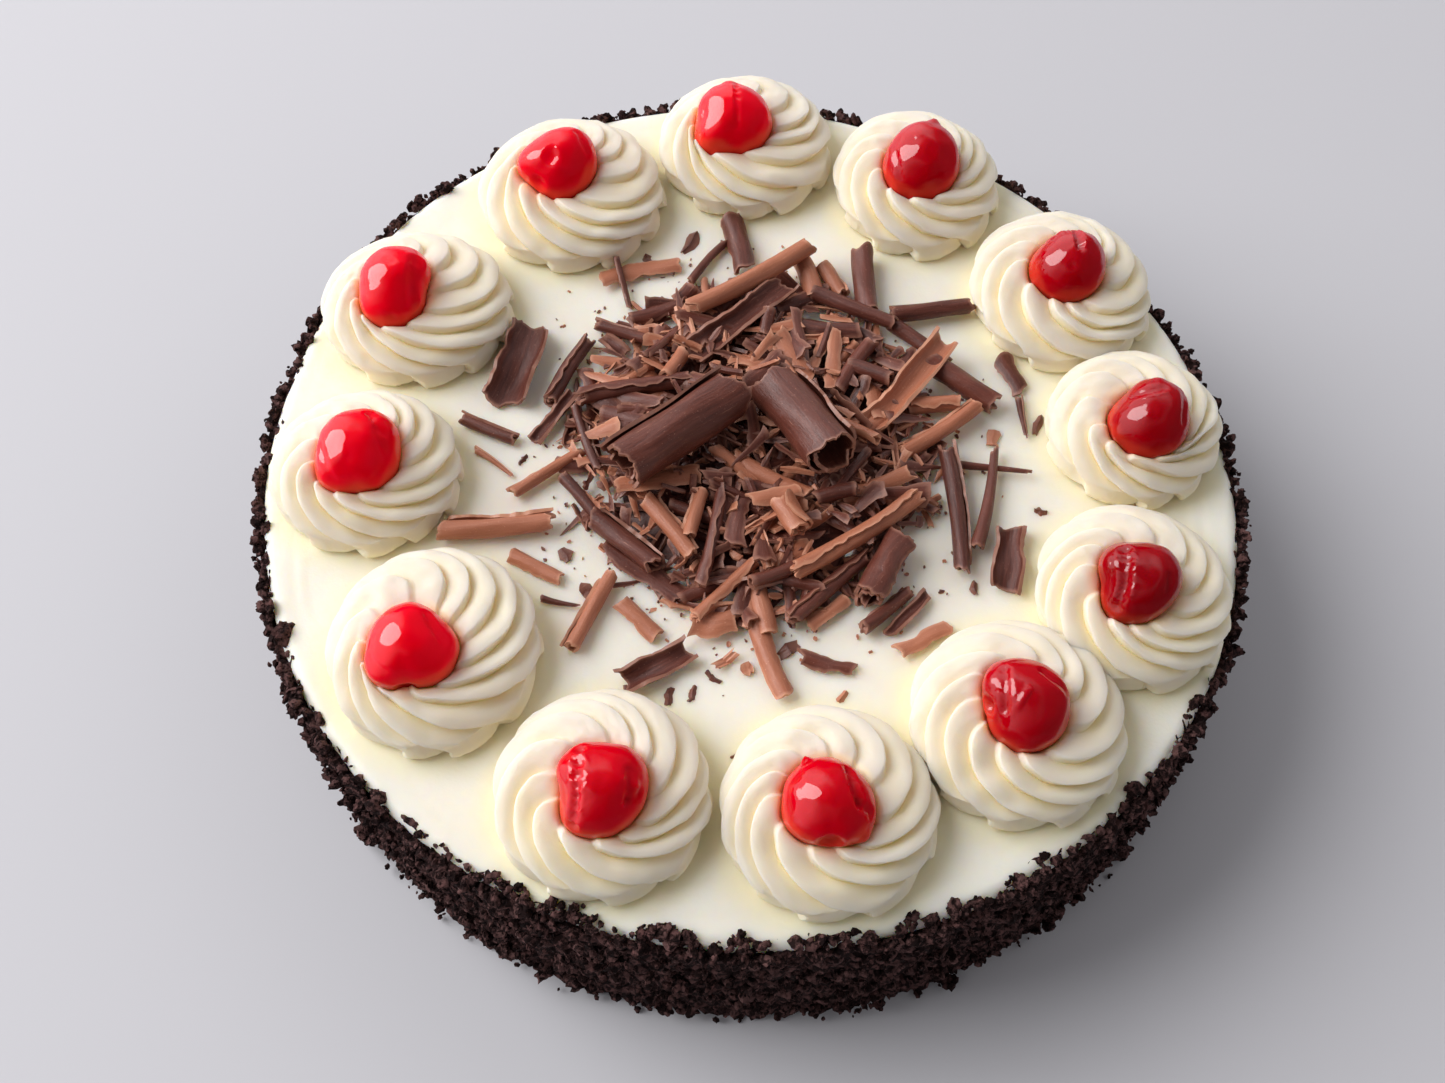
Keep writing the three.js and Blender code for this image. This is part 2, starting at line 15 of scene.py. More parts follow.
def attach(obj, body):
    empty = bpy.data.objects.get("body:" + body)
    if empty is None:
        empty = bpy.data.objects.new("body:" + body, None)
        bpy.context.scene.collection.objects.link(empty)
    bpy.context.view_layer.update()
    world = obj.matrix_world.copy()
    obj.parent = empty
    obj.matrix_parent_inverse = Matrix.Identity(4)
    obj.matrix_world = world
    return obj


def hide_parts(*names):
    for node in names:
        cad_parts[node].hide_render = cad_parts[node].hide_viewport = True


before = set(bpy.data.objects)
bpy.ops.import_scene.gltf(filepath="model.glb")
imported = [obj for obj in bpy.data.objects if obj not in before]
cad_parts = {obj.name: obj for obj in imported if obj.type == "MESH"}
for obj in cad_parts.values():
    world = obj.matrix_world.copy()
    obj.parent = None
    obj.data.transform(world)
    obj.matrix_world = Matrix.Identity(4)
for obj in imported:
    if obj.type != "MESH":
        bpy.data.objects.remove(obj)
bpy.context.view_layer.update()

MM = 0.001
FULL_TURN = 2 * np.pi
# edges sharper than this many degrees stay sharp on a smooth piece
SHARP_ANGLE = 50
# what the solids keep free between a topping and what it lies on
GAP = 0.3

# Cake: flat cream with a rounded lip, and a coat of crumbs that widens towards the foot
CAKE_HEIGHT = 56.0
CREAM_RADIUS = 121.0
CREAM_LIP = 3.2
COAT_RADIUS = 124.2
FOOT_FLARE = 3.4
BED_THICKNESS = 1.9
RIM_START = 50.0
# where the random patterns of the coat are read
PATTERN_RADIUS = 120

# Rosettes: the sweep of a ridge is in radians, its lip a share of its width
ROSETTE_RADIUS = 25.0
RIDGES = 11
RIDGE_SWEEP = 1.45
RIDGE_DEPTH = 3.1
RIDGE_LIP = 0.84
LOWER_LAP_TOP = 4.5
# cream nearer to the middle than the seat goes with the cherry, beyond its rim it stays
SEAT_RADIUS = 10.0
SEAT_RIM = 15.0
CHERRY_RADIUS = 10.6
CHERRY_RISE = 12.8 + GAP
# the syrup lies thickest on the side that faces this way
THICK_SYRUP = (-0.47, -0.14, 0.87)

# Heap of shavings
HEAP_CENTRE = (2.0, 7.0)
HEAP_REACH = (48.0, 51.0)
HEAP_HEIGHT = 7.5
# how far below the cream's top its shavings may reach
HEAP_FOOT = -0.8

# Camera: degrees, metres, and the focal length in the pixels of a picture this wide
VIEW_ELEVATION = 62.848
VIEW_YAW = 0.169
CAMERA_PLACE = (-0.00617, -0.18356, 0.37254)
FOCAL_PIXELS = 1450.6
PICTURE_WIDTH = 1445
SENSOR_WIDTH = 36

# Studio: metres and watts
FLOOR_SIZE = 6.0
LIGHT_AIM = (0, 0, 0.05)
WINDOW_DIRECTION = (-0.79, 0.23, 0.64)
WINDOW_DISTANCE = 2.2
WINDOW_SIZE = (1.9, 2.3)
WINDOW_POWER = 56
# walls: towards x and y, where they start and end to brighten along it, how much is added
WALLS = [
    (-0.64, 0.77, -0.6, 0.9, 1.05),
    (0.97, -0.05, 0.1, 0.95, 0.5),
]
WALL_LEAST = 0.11
# the ceiling: heights between which it takes over, and its share of the walls' light
CEILING_START = 0.72
CEILING_END = 0.92
CEILING_SHARE = 0.12

# Colours: the two that cloud a plain surface, then those of its details
SMOOTH_CREAM = ((0.935, 0.865, 0.765), (0.955, 0.893, 0.80))
PIPED_CREAM = ((0.755, 0.680, 0.580), (0.785, 0.720, 0.625))
# painted glow: a lighter yellow painted into the cream's narrow valleys, ridges' hollows and feet, for the
# warm light in their shade
CREAM_PAINTED_GLOW = (1.0, 0.87, 0.57)
CREAM_STAINED = (0.92, 0.46, 0.33)
CRUMB = ((0.009, 0.0032, 0.0031), (0.155, 0.072, 0.068))
CRUMB_PALE = (0.20, 0.105, 0.098)
# near black painted into the pores: painted shade
CRUMB_PORE_SHADE = (0.005, 0.0018, 0.0018)
CHERRY = ((0.84, 0.0001, 0.010), (0.96, 0.0002, 0.016))
CHERRY_DARKEST_RED = (0.23, 0.0002, 0.003)
# painted glow on the lower flank, for the cream's light shining through the flesh
CHERRY_PAINTED_GLOW = (0.84, 0.085, 0.035)
# deep, light, and pale at broken edges, dust and scuffs; along the rims the pale is partly a painted
# highlight
CHOCOLATES = {
    "dark": ((0.058, 0.013, 0.0085), (0.25, 0.073, 0.047), (0.44, 0.21, 0.145)),
    "milk": ((0.365, 0.120, 0.062), (0.57, 0.222, 0.127), (0.70, 0.36, 0.23)),
}
FLOOR_COLOUR = (0.60, 0.592, 0.622)
WALL_COLOUR = (0.985, 0.975, 1.0)

# Rosettes: centre x and y, half widths along x and y, cherry off the centre by x and y
ROSETTES = [
    (1, 102, 25, 24, -3.6, 0.8),
    (-47, 85, 26, 25.5, -3.2, 1.7),
    (-86, 46.5, 26, 23.5, -3.4, -0.8),
    (-94, -3, 24.5, 22.5, 0, -0.6),
    (-73, -51, 25.5, 26, -3.2, -3.4),
    (-32.5, -86, 25, 24.5, 0.7, -2.2),
    (17.5, -90, 25, 24.5, -0.7, -0.9),
    (61, -69.5, 25.5, 25, 0.5, 0.4),
    (91.5, -38, 24, 24, -0.7, -1.1),
    (98, 9, 22.5, 22, 0.6, -3.6),
    (84, 51.5, 24.5, 25, 0.2, 0.5),
    (48, 88.5, 23.5, 24.5, 0.4, -1.4),
]
# Side view of a rosette: distance from its middle and height, from the cherry's seat to the foot
ROSETTE_PROFILE = [
    (3.0, 3.2),
    (7.5, 5.7),
    (9.9, 9.5),
    (10.7, 11.9),
    (12.0, 13.0),
    (14.2, 13.1),
    (17.0, 12.3),
    (19.8, 11.0),
    (22.2, 9.1),
    (24.0, 7.0),
    (24.7, 5.3),
    (24.2, 4.3),
    (24.0, 3.6),
    (24.5, 2.4),
    (24.3, 0.9),
    (23.2, -0.3),
]
# Depth of the ridges, as a share, from the rosette's crest (0) to the notch between its laps (1)
RIDGE_DEPTHS = {-0.32: 0, -0.05: 0.6, 0.2: 1, 0.75: 1, 1.0: 0.85, 1.3: 0.7}
# Columns of the mesh across each ridge, closest together where it drops
ACROSS_RIDGE = np.concatenate(
    [np.linspace(0, 0.2, 6, endpoint=False), np.linspace(0.2, 1, 12, endpoint=False)]
)

# Outline of each cherry as it shows from the front and above: its reach towards the right, the
# upper right and so on anticlockwise
CHERRY_OUTLINES = [
    (11.0, 10.0, 10.0, 10.3, 10.1, 12.7, 10.1, 11.0),
    (10.8, 11.6, 9.6, 8.9, 10.8, 9.0, 10.0, 10.0),
    (7.4, 10.7, 10.9, 10.4, 9.7, 11.1, 10.9, 8.9),
    (10.1, 11.3, 10.7, 10.3, 10.1, 11.8, 10.0, 10.5),
    (10.6, 9.0, 10.0, 9.7, 10.3, 12.0, 9.4, 10.7),
    (9.9, 10.9, 10.3, 11.4, 9.2, 11.0, 10.3, 9.5),
    (10.2, 9.0, 9.5, 10.0, 10.2, 10.6, 9.2, 11.1),
    (9.9, 10.0, 10.4, 11.5, 9.1, 9.8, 10.7, 10.2),
    (9.5, 10.2, 9.5, 10.9, 8.8, 10.8, 9.5, 8.4),
    (10.1, 10.8, 9.8, 8.0, 9.4, 9.8, 9.8, 10.2),
    (9.7, 10.2, 9.5, 8.6, 9.7, 9.9, 9.6, 9.6),
    (10.5, 11.0, 11.2, 10.0, 10.3, 11.0, 11.0, 10.6),
]
# Dents, horns and folds of each: place across and up in its outline, as shares of its radius, half
# width in degrees, height in millimetres; a fold also has the place across and up where it ends
CHERRY_LUMPS = [
    [(-0.1, 0.95, 10, 0.5), (0.1, 0.9, 5, -0.5, 0.12, -0.4), (-0.75, 0.3, 6, -0.5, -0.8, -0.5),
     (0.8, 0.1, 8, 0.4)],
    [(-0.05, 0, 11, -0.6), (0.15, -0.3, 9, 0.3), (0.55, 0.65, 6, -0.5, 0.8, 0.2),
     (-0.45, -0.65, 12, -0.9)],
    [(0.6, 0.55, 10, -1.0, 0.58, -0.5), (0.78, 0.5, 12, 0.6), (-0.1, 0.55, 5, -0.3, 0.05, 0.5),
     (0, -0.78, 7, -0.6)],
    [(0.35, 0.85, 5, -0.8, 0.72, 0.4), (0.55, 0.5, 5, -0.6, 0.8, 0.0), (0.78, 0.45, 7, 0.5),
     (-0.7, 0.1, 6, -0.6, -0.4, -0.6), (-0.1, -0.05, 5, 0.3)],
    [(-0.08, -0.92, 12, -1.1), (-0.75, -0.2, 6, -0.5, -0.4, -0.45), (0.45, 0.8, 7, -0.6, 0.8, 0.2),
     (0.7, -0.3, 14, 0.4)],
    [(-0.42, 0.85, 7, -1.1, -0.55, -0.6), (-0.85, 0.45, 15, 0.7), (0.6, 0.5, 6, -0.7, 0.6, -0.1),
     (0.6, -0.1, 6, -0.7, 0.85, 0.0), (0.75, 0.2, 6, 0.5)],
    [(-0.47, 0.9, 6, 1.3), (0.45, 0.8, 7, -1.0, 0.62, 0.1), (0.62, 0.1, 6, -0.7, 0.85, -0.15),
     (0, -0.76, 13, -1.6), (0, -0.78, 5, 0.7), (0.7, -0.65, 9, 0.8)],
    [(-0.93, 0.05, 12, -1.5), (-0.82, 0.5, 13, 0.7), (-0.5, 0.75, 6, -0.8, -0.62, 0.0),
     (-0.35, 0.1, 4, 0.4, -0.1, 0.45), (0.3, 0.8, 7, -0.5, 0.75, 0.4)],
    [(-0.45, 0.75, 8, -1.1, -0.66, -0.5), (-0.85, 0.4, 12, 0.5), (0.42, 0.2, 5, -0.5, 0.38, -0.15),
     (-0.4, -0.1, 5, 0.4)],
    [(-0.85, -0.38, 12, 0.8), (0.7, 0.55, 6, -0.5, 0.65, -0.1), (0.2, 0.93, 9, 0.5),
     (-0.55, 0.6, 7, -0.5, 0.2, 0.7), (-0.25, 0.05, 5, 0.3)],
    [(0.12, 0.95, 6, -1.2, 0.1, 0.35), (-0.25, 0.9, 8, 0.6), (0.35, 0.6, 10, 0.4),
     (-0.1, -0.15, 6, -0.3)],
    [(0.3, 0.93, 7, 1.0), (-0.6, -0.75, 10, 0.6), (0.6, 0, 14, -0.3),
     (-0.75, 0.1, 6, -0.4, -0.6, -0.5)],
]
# How much darker the red of each cherry is made, 0 to 1: most on the cherries at the right
CHERRY_DARKER_RED = [0.0, 0.1, 0.0, 0.0, 0.0, 0.4, 0.45, 0.7, 0.9, 0.8, 0.7, 0.6]

# Where crumbs have spilt over the cream's edge: x, y and width of the clump
SPILT_CLUMPS = [
    (-2.5, -116.8, 5),
    (-35.8, -110.5, 8),
    (-42, -109, 6),
    (-50, -106.6, 6),
    (49, -110, 7),
    (64, -103.8, 4),
    (-84.5, 89, 5),
    (-94.6, 78.3, 5),
    (77.5, 89.5, 4),
    (25.8, 118.5, 4),
    (-40.6, 116.5, 5),
]

# How a shaving of each kind is rolled: turn in degrees, open side up, narrowing along it
KINDS = {
    "roll": (600, False, 0.0),
    "tube": (400, False, 0.05),
    "rod": (560, False, 0.1),
    "cone": (400, False, 0.5),
    "scoop": (150, True, 0.1),
    "half": (150, False, 0.05),
    "flake": (70, False, 0.15),
    "shard": (60, False, 0.8),
}

# Curls on top of the heap, and single ones on the cream: kind, tone, x, y, lowest point above the
# cream, heading in degrees, length, width, slope of the far end upwards in degrees
BIG_CURLS = {
    "curl_left": ("roll", "dark", -16.5, 3, 7, 38, 34, 14.5, 0),
    "curl_right": ("roll", "dark", 15, 5, 6.5, -60, 28, 15, 13),
}
LOOSE_CURLS = [
    ("flake", "dark", 69.5, 27, GAP, -67, 11, 5, 0),
    ("cone", "dark", 71, 13.5, GAP, -86, 11, 2.4, 0),
    ("scoop", "dark", 63.5, -26.5, GAP, 81, 17, 8, 0),
    ("flake", "milk", 42, -48, GAP, 28, 14, 4.5, 0),
    ("tube", "milk", -61, -18.5, GAP, 5, 26, 6.5, 0),
    ("tube", "dark", -65, 10, GAP, -25, 16, 4, 0),
    ("cone", "milk", -63, 1, GAP, -38, 13, 2.2, 0),
    ("scoop", "dark", -58, 30, GAP, 75, 24, 11.5, 0),
    ("flake", "milk", -28, 60, GAP, 15, 21, 6, 0),
    ("scoop", "dark", -21, -55, GAP, 28, 17, 7, 0),
    ("tube", "milk", -37, -40.5, GAP, 65, 20, 5, 0),
    ("half", "milk", -25.5, -42.5, GAP, -45, 12, 4.5, 0),
    ("cone", "dark", -45, -38, GAP, -13, 9, 2.2, 0),
    ("half", "milk", -51, -28.5, GAP, -29, 15, 4, 0),
    ("flake", "dark", 18.5, -54, GAP, -16, 13, 4, 0),
    ("rod", "dark", -32.2, 55.4, 1.85, -75, 14, 2.2, -12),
]
# Large shavings of the heap, likewise and level
HEAP_SHAVINGS = [
    ("tube", "milk", 2.5, 53, 4.2, 31, 35, 6.6),
    ("scoop", "dark", -0.5, 41, 4, 41, 32, 8.3),
    ("half", "dark", -1, 69, 0, -78, 18, 6.5),
    ("rod", "dark", -10, 63, 0, 56, 16, 3),
    ("tube", "dark", 32.5, 55, 0, -88, 21, 6.8),
    ("tube", "milk", 18, 57, 0, -74, 12, 6.2),
    ("rod", "milk", 24, 56, 0, -63, 11, 5.2),
    ("rod", "dark", 29, 46, 1.5, -28, 22, 5),
    ("rod", "dark", 50, 46, 0, 9, 21, 5.6),
    ("scoop", "milk", 42.5, 20.5, 4, 51, 31, 8),
    ("tube", "dark", 56, 23, 0, -37, 19, 6.5),
    ("rod", "milk", 50, 8.5, 1, 34, 23, 5.4),
    ("half", "milk", 32, -8.5, 3.5, 21, 19, 4.7),
    ("rod", "milk", 27.5, -23, 3.5, 34, 36, 5.6),
    ("rod", "dark", 52, -13, 0, -87, 33, 5.8),
    ("cone", "dark", 60, -11, 0, 76, 28, 4.5),
    ("cone", "dark", 62, -1.5, 0, -8, 17, 2.6),
    ("roll", "dark", 33, -31, 0, 62, 19, 9),
    ("rod", "dark", 20, -35, 0.5, 42, 25, 5),
    ("rod", "dark", 33, -41, 0, 40, 15, 4.5),
    ("roll", "milk", 10.5, -19, 5.5, -62, 9, 7.6),
    ("flake", "milk", 7, -13, 7, 15, 13, 4.2),
    ("half", "milk", 5.5, -7, 5.6, -32, 21, 4.7),
    ("rod", "milk", -18.5, -20, 3.4, -54, 18, 5.6),
    ("rod", "milk", -12.5, -17, 4.3, 75, 13, 4.6),
    ("rod", "dark", -7.5, -21.5, 4.2, 79, 27, 3.8),
    ("flake", "dark", -2, -18, 5, 80, 15, 4.6),
    ("rod", "dark", -40.5, -10, 0.3, -51, 14, 3.8),
    ("tube", "dark", -29.5, -23, 1, -41, 20, 7),
    ("flake", "dark", -25, -30, 0, -34, 22, 6),
    ("rod", "milk", -49.5, -2.5, 0, 36, 20, 3.8),
    ("rod", "dark", -45.5, 27.5, 0, 64, 20, 5),
    ("flake", "milk", -33, 29.5, 1.6, -9, 13, 3.2),
    ("rod", "dark", -28, 20, 3, 11, 27, 5.4),
    ("scoop", "dark", -48.5, 14, 0, 56, 17, 4.4),
    ("rod", "dark", -40.5, 7.5, 1, -71, 20, 3.4),
    ("half", "dark", -22.5, 46, 0.5, 18, 16, 4.5),
    ("rod", "dark", -31, 39, 0.5, -21, 17, 4),
    ("flake", "milk", 12.5, 29, 5.5, -57, 16, 5.5),
    ("flake", "milk", 23, 28, 4.8, 85, 19, 3.8),
    ("rod", "milk", 48, 16, 0.6, 5, 13, 5.4),
    ("rod", "milk", -5.5, -36.5, 1.6, 45, 21, 4),
    ("flake", "milk", -8, -44, 0.4, 5, 11, 8),
    ("half", "milk", 3.5, -39, 1, -78, 16, 5),
    ("half", "milk", 5, -53, 0, -72, 21, 5),
    ("flake", "milk", -21, -7.5, 5, 13, 20, 5.2),
    ("rod", "dark", 46, 36, 0, -42, 19, 5),
    ("rod", "milk", 4.5, -26, 4, -77, 10, 3),
    ("scoop", "dark", 39, -41, 0, 46, 14, 3.4),
    ("flake", "milk", 19.5, -41, 0.3, 37, 12, 3.6),
]

# Small flakes that lie on the cream: tone, x, y, length, width
FLAKES = [
    ("dark", -14, 71, 8, 4),
    ("dark", -26, 65, 3, 3),
    ("dark", -8, -57, 4, 4),
    ("dark", -18, -62, 4, 6),
    ("dark", -13, -61, 4, 4),
    ("milk", -5, -53, 2, 6),
    ("milk", 0, -55, 3, 3),
    ("dark", 10, -50, 3, 6),
    ("dark", -44, -25, 4, 3),
    ("dark", -38, -35, 3, 4),
    ("dark", 73, -13, 3, 3),
    ("milk", 63, 8, 4, 3),
    ("dark", 75, 12, 5, 2),
    ("dark", 55, -34, 4, 2),
    ("milk", 22, -62, 3, 2),
    ("dark", -56, 2, 3, 3),
]


# ---------------- mesh helpers


def out_of_round(angle):
    """Hand-made roundness error of the cake, in millimetres at an angle."""
    oval = 0.7 * np.cos(2 * angle) - 1.8 * np.sin(2 * angle)
    three_sided = 0.8 * np.cos(3 * angle) - 0.6 * np.sin(3 * angle)
    return oval + three_sided


def circle(steps):
    """Evenly spaced angles all the way round."""
    return np.linspace(0, FULL_TURN, steps, endpoint=False)


def polar(radius, angle, height):
    """Points from their distance to the upright axis, their angle and their height."""
    parts = np.broadcast_arrays(radius * np.cos(angle), radius * np.sin(angle), height)
    return np.stack(parts, axis=-1)


def on_cake(radius, angle, height):
    """Points round the cake, as far out of round as it is."""
    return polar(radius + out_of_round(angle), angle, height)


def fade(value, start, end):
    """From 0 at the start, and before it, to 1 at the end, and past it."""
    return np.clip((value - start) / (end - start), 0, 1)


def spline(a, b, c, d, t):
    """Catmull-Rom curve through the four: at b where t is 0, and at c where it is 1."""
    return b + 0.5 * t * (c - a + t * (2 * a - 5 * b + 4 * c - d + t * (3 * b - a - 3 * c + d)))


def waves(points, size, seed):
    """Smooth random field of about -1 to 1 over an (n, 3) array, with features of the given size."""
    count = 10
    rng = np.random.default_rng(seed)
    directions = rng.normal(size=(count, 3))
    directions /= np.linalg.norm(directions, axis=1)[:, None]
    pace = FULL_TURN / size * rng.uniform(0.6, 1.5, count)
    phase = rng.uniform(0, FULL_TURN, count)
    field = np.sin(points @ directions.T * pace + phase)
    return field.sum(axis=1) / math.sqrt(count / 2) / 1.6


def make_piece(name, points, faces, fields, look, nodes=(), smooth=True):
    """A mesh piece on the body, from points in millimetres; its look is a material and a slot, and the slot
    is not used.
    """
    material, slot = look
    mesh = bpy.data.meshes.new(name)
    mesh.from_pydata((points * MM).tolist(), [], faces)
    mesh.polygons.foreach_set("use_smooth", [smooth] * len(mesh.polygons))
    for label, values in fields.items():
        layer = mesh.attributes.new(label, "FLOAT", "POINT")
        layer.data.foreach_set("value", np.asarray(values, np.float32))
    if smooth:
        mesh.set_sharp_from_angle(angle=math.radians(SHARP_ANGLE))
    mesh.materials.append(material)
    mesh.update()
    piece = bpy.data.objects.new(name, mesh)
    bpy.context.scene.collection.objects.link(piece)
    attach(piece, "root")
    if nodes:
        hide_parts(*nodes)


def grid_faces(rows, columns, closed=True, first=0):
    """Quads of a grid of points stored row by row; closed joins the last column to the first."""
    count = columns if closed else columns - 1
    row = np.arange(rows - 1)[:, None]
    column = np.arange(count)[None, :]
    following = (column + 1) % columns
    corners = [
        row * columns + column,
        row * columns + following,
        (row + 1) * columns + following,
        (row + 1) * columns + column,
    ]
    return (np.stack(corners, axis=-1).reshape(-1, 4) + first).tolist()


def turned_over(faces):
    return [face[::-1] for face in faces]


def capped_faces(rows, columns):
    """Faces of a body whose rows are rings from its top down, with a cap at both ends."""
    first_row = list(range(columns))
    last_row = list(range((rows - 1) * columns, rows * columns))
    return [*turned_over(grid_faces(rows, columns)), first_row, last_row[::-1]]


def sheet_faces(rows, columns):
    """Faces of a sheet: its outside, as many points on the inside, and the rim between them."""
    count = rows * columns
    outside = grid_faces(rows, columns, closed=False)
    inside = turned_over(grid_faces(rows, columns, closed=False, first=count))
    grid = np.arange(count).reshape(rows, columns)
    border = np.concatenate([grid[0, :-1], grid[:-1, -1], grid[-1, :0:-1], grid[:0:-1, 0]])
    following = np.roll(border, -1)
    rim = np.stack([following, border, border + count, following + count], axis=-1)
    return outside + inside + rim.tolist()


# ---------------- materials


class Nodes:
    """Adds nodes to a tree and joins them; a value is a number, a colour, a vector or a socket."""

    def __init__(self, tree):
        self.tree = tree

    def put(self, socket, value):
        if isinstance(value, bpy.types.NodeSocket):
            self.tree.links.new(value, socket)
        elif socket.type == "RGBA":
            socket.default_value = (*value, 1.0)
        else:
            socket.default_value = value

    def node(self, kind, inputs, **settings):
        made = self.tree.nodes.new(kind)
        for key, value in settings.items():
            setattr(made, key, value)
        for key, value in inputs.items():
            self.put(made.inputs[key], value)
        return made

    def math(self, operation, first, second):
        made = self.node("ShaderNodeMath", {0: first, 1: second}, operation=operation)
        return made.outputs["Value"]

    def plus(self, first, second):
        return self.math("ADD", first, second)

    def times(self, first, second):
        return self.math("MULTIPLY", first, second)

    def larger(self, first, second):
        return self.math("MAXIMUM", first, second)

    def dot(self, first, second):
        made = self.node("ShaderNodeVectorMath", {0: first, 1: second}, operation="DOT_PRODUCT")
        return made.outputs["Value"]

    def curve(self, value, low, high, to_low=0.0, to_high=1.0, shape="LINEAR"):
        ends = {"From Min": low, "From Max": high, "To Min": to_low, "To Max": to_high}
        made = self.node("ShaderNodeMapRange", {"Value": value, **ends}, interpolation_type=shape)
        return made.outputs["Result"]


class Shader(Nodes):
    """The node tree of a new material."""

    def __init__(self, name):
        self.material = bpy.data.materials.new(name)
        self.material.use_nodes = True
        super().__init__(self.material.node_tree)
        self.main = self.tree.nodes["Principled BSDF"]
        self.coords = self.node("ShaderNodeTexCoord", {})

    def field(self, name):
        return self.node("ShaderNodeAttribute", {}, attribute_name=name).outputs["Fac"]

    def noise(self, scale, detail, roughness=0.55, where=None):
        pattern = {"Scale": scale, "Detail": detail, "Roughness": roughness}
        where = where or self.coords.outputs["Object"]
        return self.node("ShaderNodeTexNoise", {"Vector": where, **pattern}).outputs["Fac"]

    def clouds(self, scale, detail, low, high, to_low=0.0, to_high=1.0):
        """Noise with more contrast: its values from low to high are spread over the given range."""
        return self.curve(self.noise(scale, detail), low, high, to_low, to_high)

    def mix(self, amount, first, second):
        made = self.node("ShaderNodeMix", {"Factor": amount, 6: first, 7: second}, data_type="RGBA")
        return made.outputs[2]

    def stained(self, base, field, share, colour):
        """The base colour, turned to another by a share of a field of the mesh."""
        return self.mix(self.times(self.field(field), share), base, colour)

    def bump(self, height, strength, distance):
        bumps = {"Height": height, "Strength": strength, "Distance": distance * MM}
        made = self.node("ShaderNodeBump", bumps)
        self.put(self.main.inputs["Normal"], made.outputs["Normal"])

    def set(self, **values):
        for key, value in values.items():
            self.put(self.main.inputs[key.replace("_", " ")], value)


def cream_material(name, colours):
    shader = Shader(name)
    base = shader.mix(shader.clouds(60, 3, 0.35, 0.65), *colours)
    # painted glow in the shaded valleys and hollows of the cream
    base = shader.stained(base, "painted_glow", 0.9, CREAM_PAINTED_GLOW)
    base = shader.stained(base, "stain", 0.6, CREAM_STAINED)
    grain, lumps = shader.noise(1400, 2), shader.noise(220, 3)
    shader.bump(shader.plus(shader.times(grain, 0.25), lumps), 0.35, 0.35)
    shader.set(
        Base_Color=base,
        Roughness=shader.clouds(300, 2, 0.3, 0.7, 0.42, 0.55),
        Subsurface_Weight=0.7,
        Subsurface_Radius=(1.0, 0.8, 0.5),
        Subsurface_Scale=5 * MM,
        IOR=1.42,
    )
    return shader.material


def crumb_material():
    shader = Shader("dark_sponge_crumb")
    base = shader.mix(shader.clouds(700, 4, 0.35, 0.7), *CRUMB)
    # the tone is paler at random from crumb to crumb; on the bed it is painted paler on raised grains and
    # darker in holes, painted light and shade
    base = shader.stained(base, "tone", 0.6, CRUMB_PALE)
    # pores are pressed in by the bump and painted near black: painted shade in the holes
    pores = shader.curve(shader.noise(480, 3, 0.6), 0.46, 0.56)
    base = shader.mix(shader.times(pores, 0.9), base, CRUMB_PORE_SHADE)
    rough = shader.times(shader.noise(1600, 5, 0.7), 0.6)
    shader.bump(shader.math("SUBTRACT", rough, pores), 0.9, 0.9)
    shader.set(Base_Color=base, Roughness=0.95, Specular_IOR_Level=0.12)
    return shader.material


def cherry_material():
    shader = Shader("glace_cherry")
    base = shader.mix(shader.clouds(110, 3, 0.3, 0.7), *CHERRY)
    # each cherry's red is made darker by its own share
    base = shader.stained(base, "darker_red", 1.0, CHERRY_DARKEST_RED)
    # painted glow low on the flank, for the light of the cream through the flesh
    base = shader.stained(base, "painted_cream_glow", 0.6, CHERRY_PAINTED_GLOW)
    creases = shader.plus(shader.noise(170, 2), shader.times(shader.noise(620, 2), 0.4))
    shader.bump(creases, 0.32, 0.8)
    # the thick syrup shines, and at a grazing angle the whole skin does
    syrup = shader.dot(shader.coords.outputs["Normal"], THICK_SYRUP)
    glazed = shader.curve(syrup, 0.72, 0.86, 0.1, 1.0)
    facing = shader.node("ShaderNodeLayerWeight", {"Blend": 0.5}).outputs["Facing"]
    shader.set(
        Base_Color=base,
        Roughness=0.3,
        Subsurface_Weight=0.6,
        Subsurface_Radius=(1.0, 0.08, 0.05),
        Subsurface_Scale=2.5 * MM,
        Specular_IOR_Level=0.0,
        IOR=1.45,
        Coat_Weight=shader.larger(glazed, shader.curve(facing, 0.52, 0.64, 0.0, 0.8)),
        Coat_Roughness=0.04,
        Coat_IOR=1.6,
    )
    return shader.material


def chocolate_material(name, deep, light, broken):
    shader = Shader(name)
    lengthwise = shader.times(shader.field("along"), 0.09)
    place = shader.node("ShaderNodeCombineXYZ", {"X": lengthwise, "Y": shader.field("across")})
    scratches = shader.noise(0.9, 5, 0.75, place.outputs["Vector"])
    base = shader.mix(shader.curve(scratches, 0.36, 0.64, 0.0, 0.5), deep, light)
    base = shader.stained(base, "tone", 0.4, light)
    base = shader.mix(shader.clouds(160, 3, 0.35, 0.65, 0.0, 0.3), base, deep)
    dust = shader.clouds(2400, 2, 0.68, 0.72)
    worn = shader.larger(dust, shader.curve(scratches, 0.63, 0.69))
    # pale rims, dust and scuffs; along the rims the pale is partly a painted highlight
    base = shader.mix(shader.times(shader.larger(shader.field("edge"), worn), 0.6), base, broken)
    fine = shader.noise(1500, 4, 0.65)
    shader.bump(shader.plus(scratches, shader.times(fine, 0.5)), 0.5, 0.4)
    shader.set(
        Base_Color=base,
        Roughness=shader.clouds(500, 3, 0.3, 0.7, 0.28, 0.43),
        Specular_IOR_Level=0.42,
        IOR=1.48,
    )
    return shader.material


smooth_cream = (cream_material("smooth_cream", SMOOTH_CREAM), "cream")
piped_cream = (cream_material("piped_cream", PIPED_CREAM), "cream")
crumb = (crumb_material(), "crumb")
cherry_red = (cherry_material(), "cherry")
chocolate = {
    tone: (chocolate_material(f"{tone}_chocolate", *colours), f"{tone}_chocolate")
    for tone, colours in CHOCOLATES.items()
}


# ---------------- cake under cream


